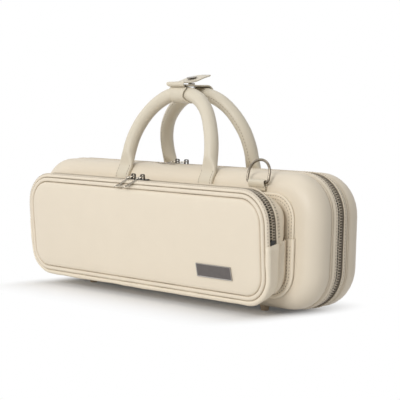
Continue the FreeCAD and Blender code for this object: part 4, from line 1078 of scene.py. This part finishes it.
def pulls():
    """The four zipper pulls, each hanging from its slider's bridge."""
    bridge = 5.27
    case_top = case_place @ Matrix.Translation((0, 0, CASE[2] - TEETH_INSET + bridge))
    pocket_top = pocket_place @ Matrix.Translation((0, ZIPPER_Y, POCKET[2] - POCKET_TEETH_INSET + bridge))
    for name, top, x, turn, droop, bend in (("main_pull_left", case_top, -18.5, 40, 5, 0),
                                            ("main_pull_right", case_top, -4.5, 40, 5, 0),
                                            ("pocket_pull_left", pocket_top, -13.5, 50, 11, 22),
                                            ("pocket_pull_right", pocket_top, 0.5, 50, 11, 22)):
        turned = Matrix.Rotation(math.radians(180 + turn), 4, "Z")
        hanging = Matrix.Rotation(math.radians(droop), 4, "Y")
        finish_piece(name + "_metal", pull_shape(math.radians(bend)), bright_nickel, name + "_body",
                     name, smooth=False,
                     at=top @ Matrix.Translation((x, 0, 0)) @ turned @ hanging)


pulls()


# ---------------------------------------------------------------- inside of the lid

def settled_mesh(piece):
    """The piece's mesh as its modifiers leave it."""
    seen = piece.evaluated_get(bpy.context.evaluated_depsgraph_get())
    return bpy.data.meshes.new_from_object(seen)


def swell(piece, pressure, reach):
    """Swell a cushion as cloth round a filling, with no point moving further than `reach`."""
    even = piece.modifiers.new("even", "REMESH")
    even.mode = "VOXEL"
    even.voxel_size = 0.005
    piece.data = settled_mesh(piece)
    piece.modifiers.remove(even)
    flat = [v.co.copy() for v in piece.data.vertices]
    cloth = piece.modifiers.new("cloth", "CLOTH")
    cloth.settings.use_pressure = True
    cloth.settings.uniform_pressure_force = pressure
    cloth.settings.effector_weights.gravity = 0
    for step in range(1, 21):
        bpy.context.scene.frame_set(step)
    swollen = settled_mesh(piece)
    for v, start in zip(swollen.vertices, flat):
        way = v.co - start
        v.co = start + way * min(1, reach / max(way.length, 1e-9))
    piece.modifiers.remove(cloth)
    piece.data = swollen
    bpy.context.scene.frame_set(1)


def lid_cushion():
    """Plush cushion inside the lid."""
    rows = [(21, 33), (19.6, 32), (19, 30.6), (19.2, 29.4), (20.6, 28.6), (24, 28.2),
            (30, 28), (40, 27.9), (52, 27.9)]
    shape = skin([case_loop(FRONT, inset, d) for inset, d in rows], cap_first=True, cap_last=True)
    piece = finish_piece("lid_cushion", shape, plush_pile, None, "lid_pad")
    swell(piece, 4, 0.0016)
    for polygon in piece.data.polygons:
        polygon.use_smooth = True
    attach(piece, "lid")


lid_cushion()


# ---------------------------------------------------------------- stage, light and camera

def seen_directly(tree):
    """1 for what the camera sees, also in a reflection or through glass."""
    rays = add(tree, "LightPath").outputs
    return calc(tree, "MAXIMUM", rays["Is Camera Ray"],
                calc(tree, "MAXIMUM", rays["Is Glossy Ray"], rays["Is Transmission Ray"]))


def mix_shaders(tree, share, first, second, end):
    """Blend two shaders by `share` into the socket `end`."""
    chosen = add(tree, "MixShader")
    for socket, value in zip(chosen.inputs, (share, first.outputs[0], second.outputs[0])):
        feed(socket, value)
    feed(end, chosen.outputs[0])


def past(tree, coordinate, reach):
    """How far a coordinate lies past `reach`, on either side."""
    beyond = calc(tree, "SUBTRACT", calc(tree, "ABSOLUTE", coordinate), reach)
    return calc(tree, "MAXIMUM", beyond, 0)


def stage():
    """Light floor that keeps the shadow under the case and fades to white away from it."""
    floor = bmesh.new()
    bmesh.ops.create_grid(floor, x_segments=1, y_segments=1, size=6)
    mesh = bpy.data.meshes.new("floor")
    floor.to_mesh(mesh)
    floor.free()
    new_object("floor", mesh)
    material, tree, shader = new_material("floor paper")
    cloud = texture(tree, "Noise", Scale=3, Detail=2)
    tone = blend_colours(tree, cloud.outputs["Fac"], (0.87, 0.87, 0.87), (0.89, 0.89, 0.89))
    coat(shader, Base_Color=tone, Roughness=0.9, Specular_IOR_Level=0.1)
    split = add(tree, "SeparateXYZ", Vector=own_place(tree))
    beside = past(tree, split.outputs[0], 0.15)
    before = past(tree, split.outputs[1], 0.04)
    beside_squared = calc(tree, "MULTIPLY", beside, calc(tree, "MULTIPLY", beside, 5))
    away = calc(tree, "SQRT", calc(tree, "MULTIPLY_ADD", before, before, beside_squared))
    fade = add(tree, "MapRange", interpolation_type="SMOOTHSTEP", Value=away)
    feed(fade.inputs["From Max"], 0.1)
    white = calc(tree, "MULTIPLY_ADD", fade.outputs["Result"], 0.93, 0.07)
    mix_shaders(tree, calc(tree, "MULTIPLY", seen_directly(tree), white), shader,
                add(tree, "Emission", Strength=1), tree.nodes["Material Output"].inputs["Surface"])
    mesh.materials.append(material)


def world():
    """Even light all round, and a white ground to look at."""
    sky = bpy.data.worlds.new("studio")
    bpy.context.scene.world = sky
    sky.use_nodes = True
    tree = sky.node_tree
    light, ground = tree.nodes["Background"], add(tree, "Background")
    for shader, strength in ((light, 0.38), (ground, 1)):
        coat(shader, Color=(1, 1, 1), Strength=strength)
    mix_shaders(tree, seen_directly(tree), light, ground, tree.nodes["World Output"].inputs["Surface"])


def lamp(name, place_at, size, power):
    """A round lamp that looks at the middle of the case."""
    lit_middle = Vector((0, 0, 0.1))
    data = bpy.data.lights.new(name, "AREA")
    data.shape = "DISK"
    data.size = size
    data.energy = power
    stand = new_object(name, data)
    stand.location = place_at
    stand.rotation_euler = (lit_middle - Vector(place_at)).to_track_quat("-Z", "Y").to_euler()


def camera():
    azimuth, elevation, roll = math.radians(44.3), math.radians(3.6), math.radians(-1.7)
    back = Vector((math.sin(azimuth) * math.cos(elevation), -math.cos(azimuth) * math.cos(elevation),
                   math.sin(elevation)))
    target = Vector((17.9, SHIFT, 104.3)) / 1000
    data = bpy.data.cameras.new("camera")
    data.sensor_width = 36
    data.lens = 36 * 1316.7 / 400
    data.clip_end = 50
    view = new_object("camera", data)
    view.location = target + back * 1.4244
    turn = (-back).to_track_quat("-Z", "Y").to_matrix()
    view.rotation_euler = (turn @ Matrix.Rotation(-roll, 3, "Z")).to_euler()
    bpy.context.scene.camera = view


bpy.context.scene.view_settings.view_transform = "Standard"
stage()
world()
lamp("key", (0.35, -2.1, 1.1), 1.2, 27)
lamp("side", (-1.6, -1.2, 0.9), 1.2, 4)
lamp("top", (-0.2, 0.1, 2.2), 1.4, 9)
camera()
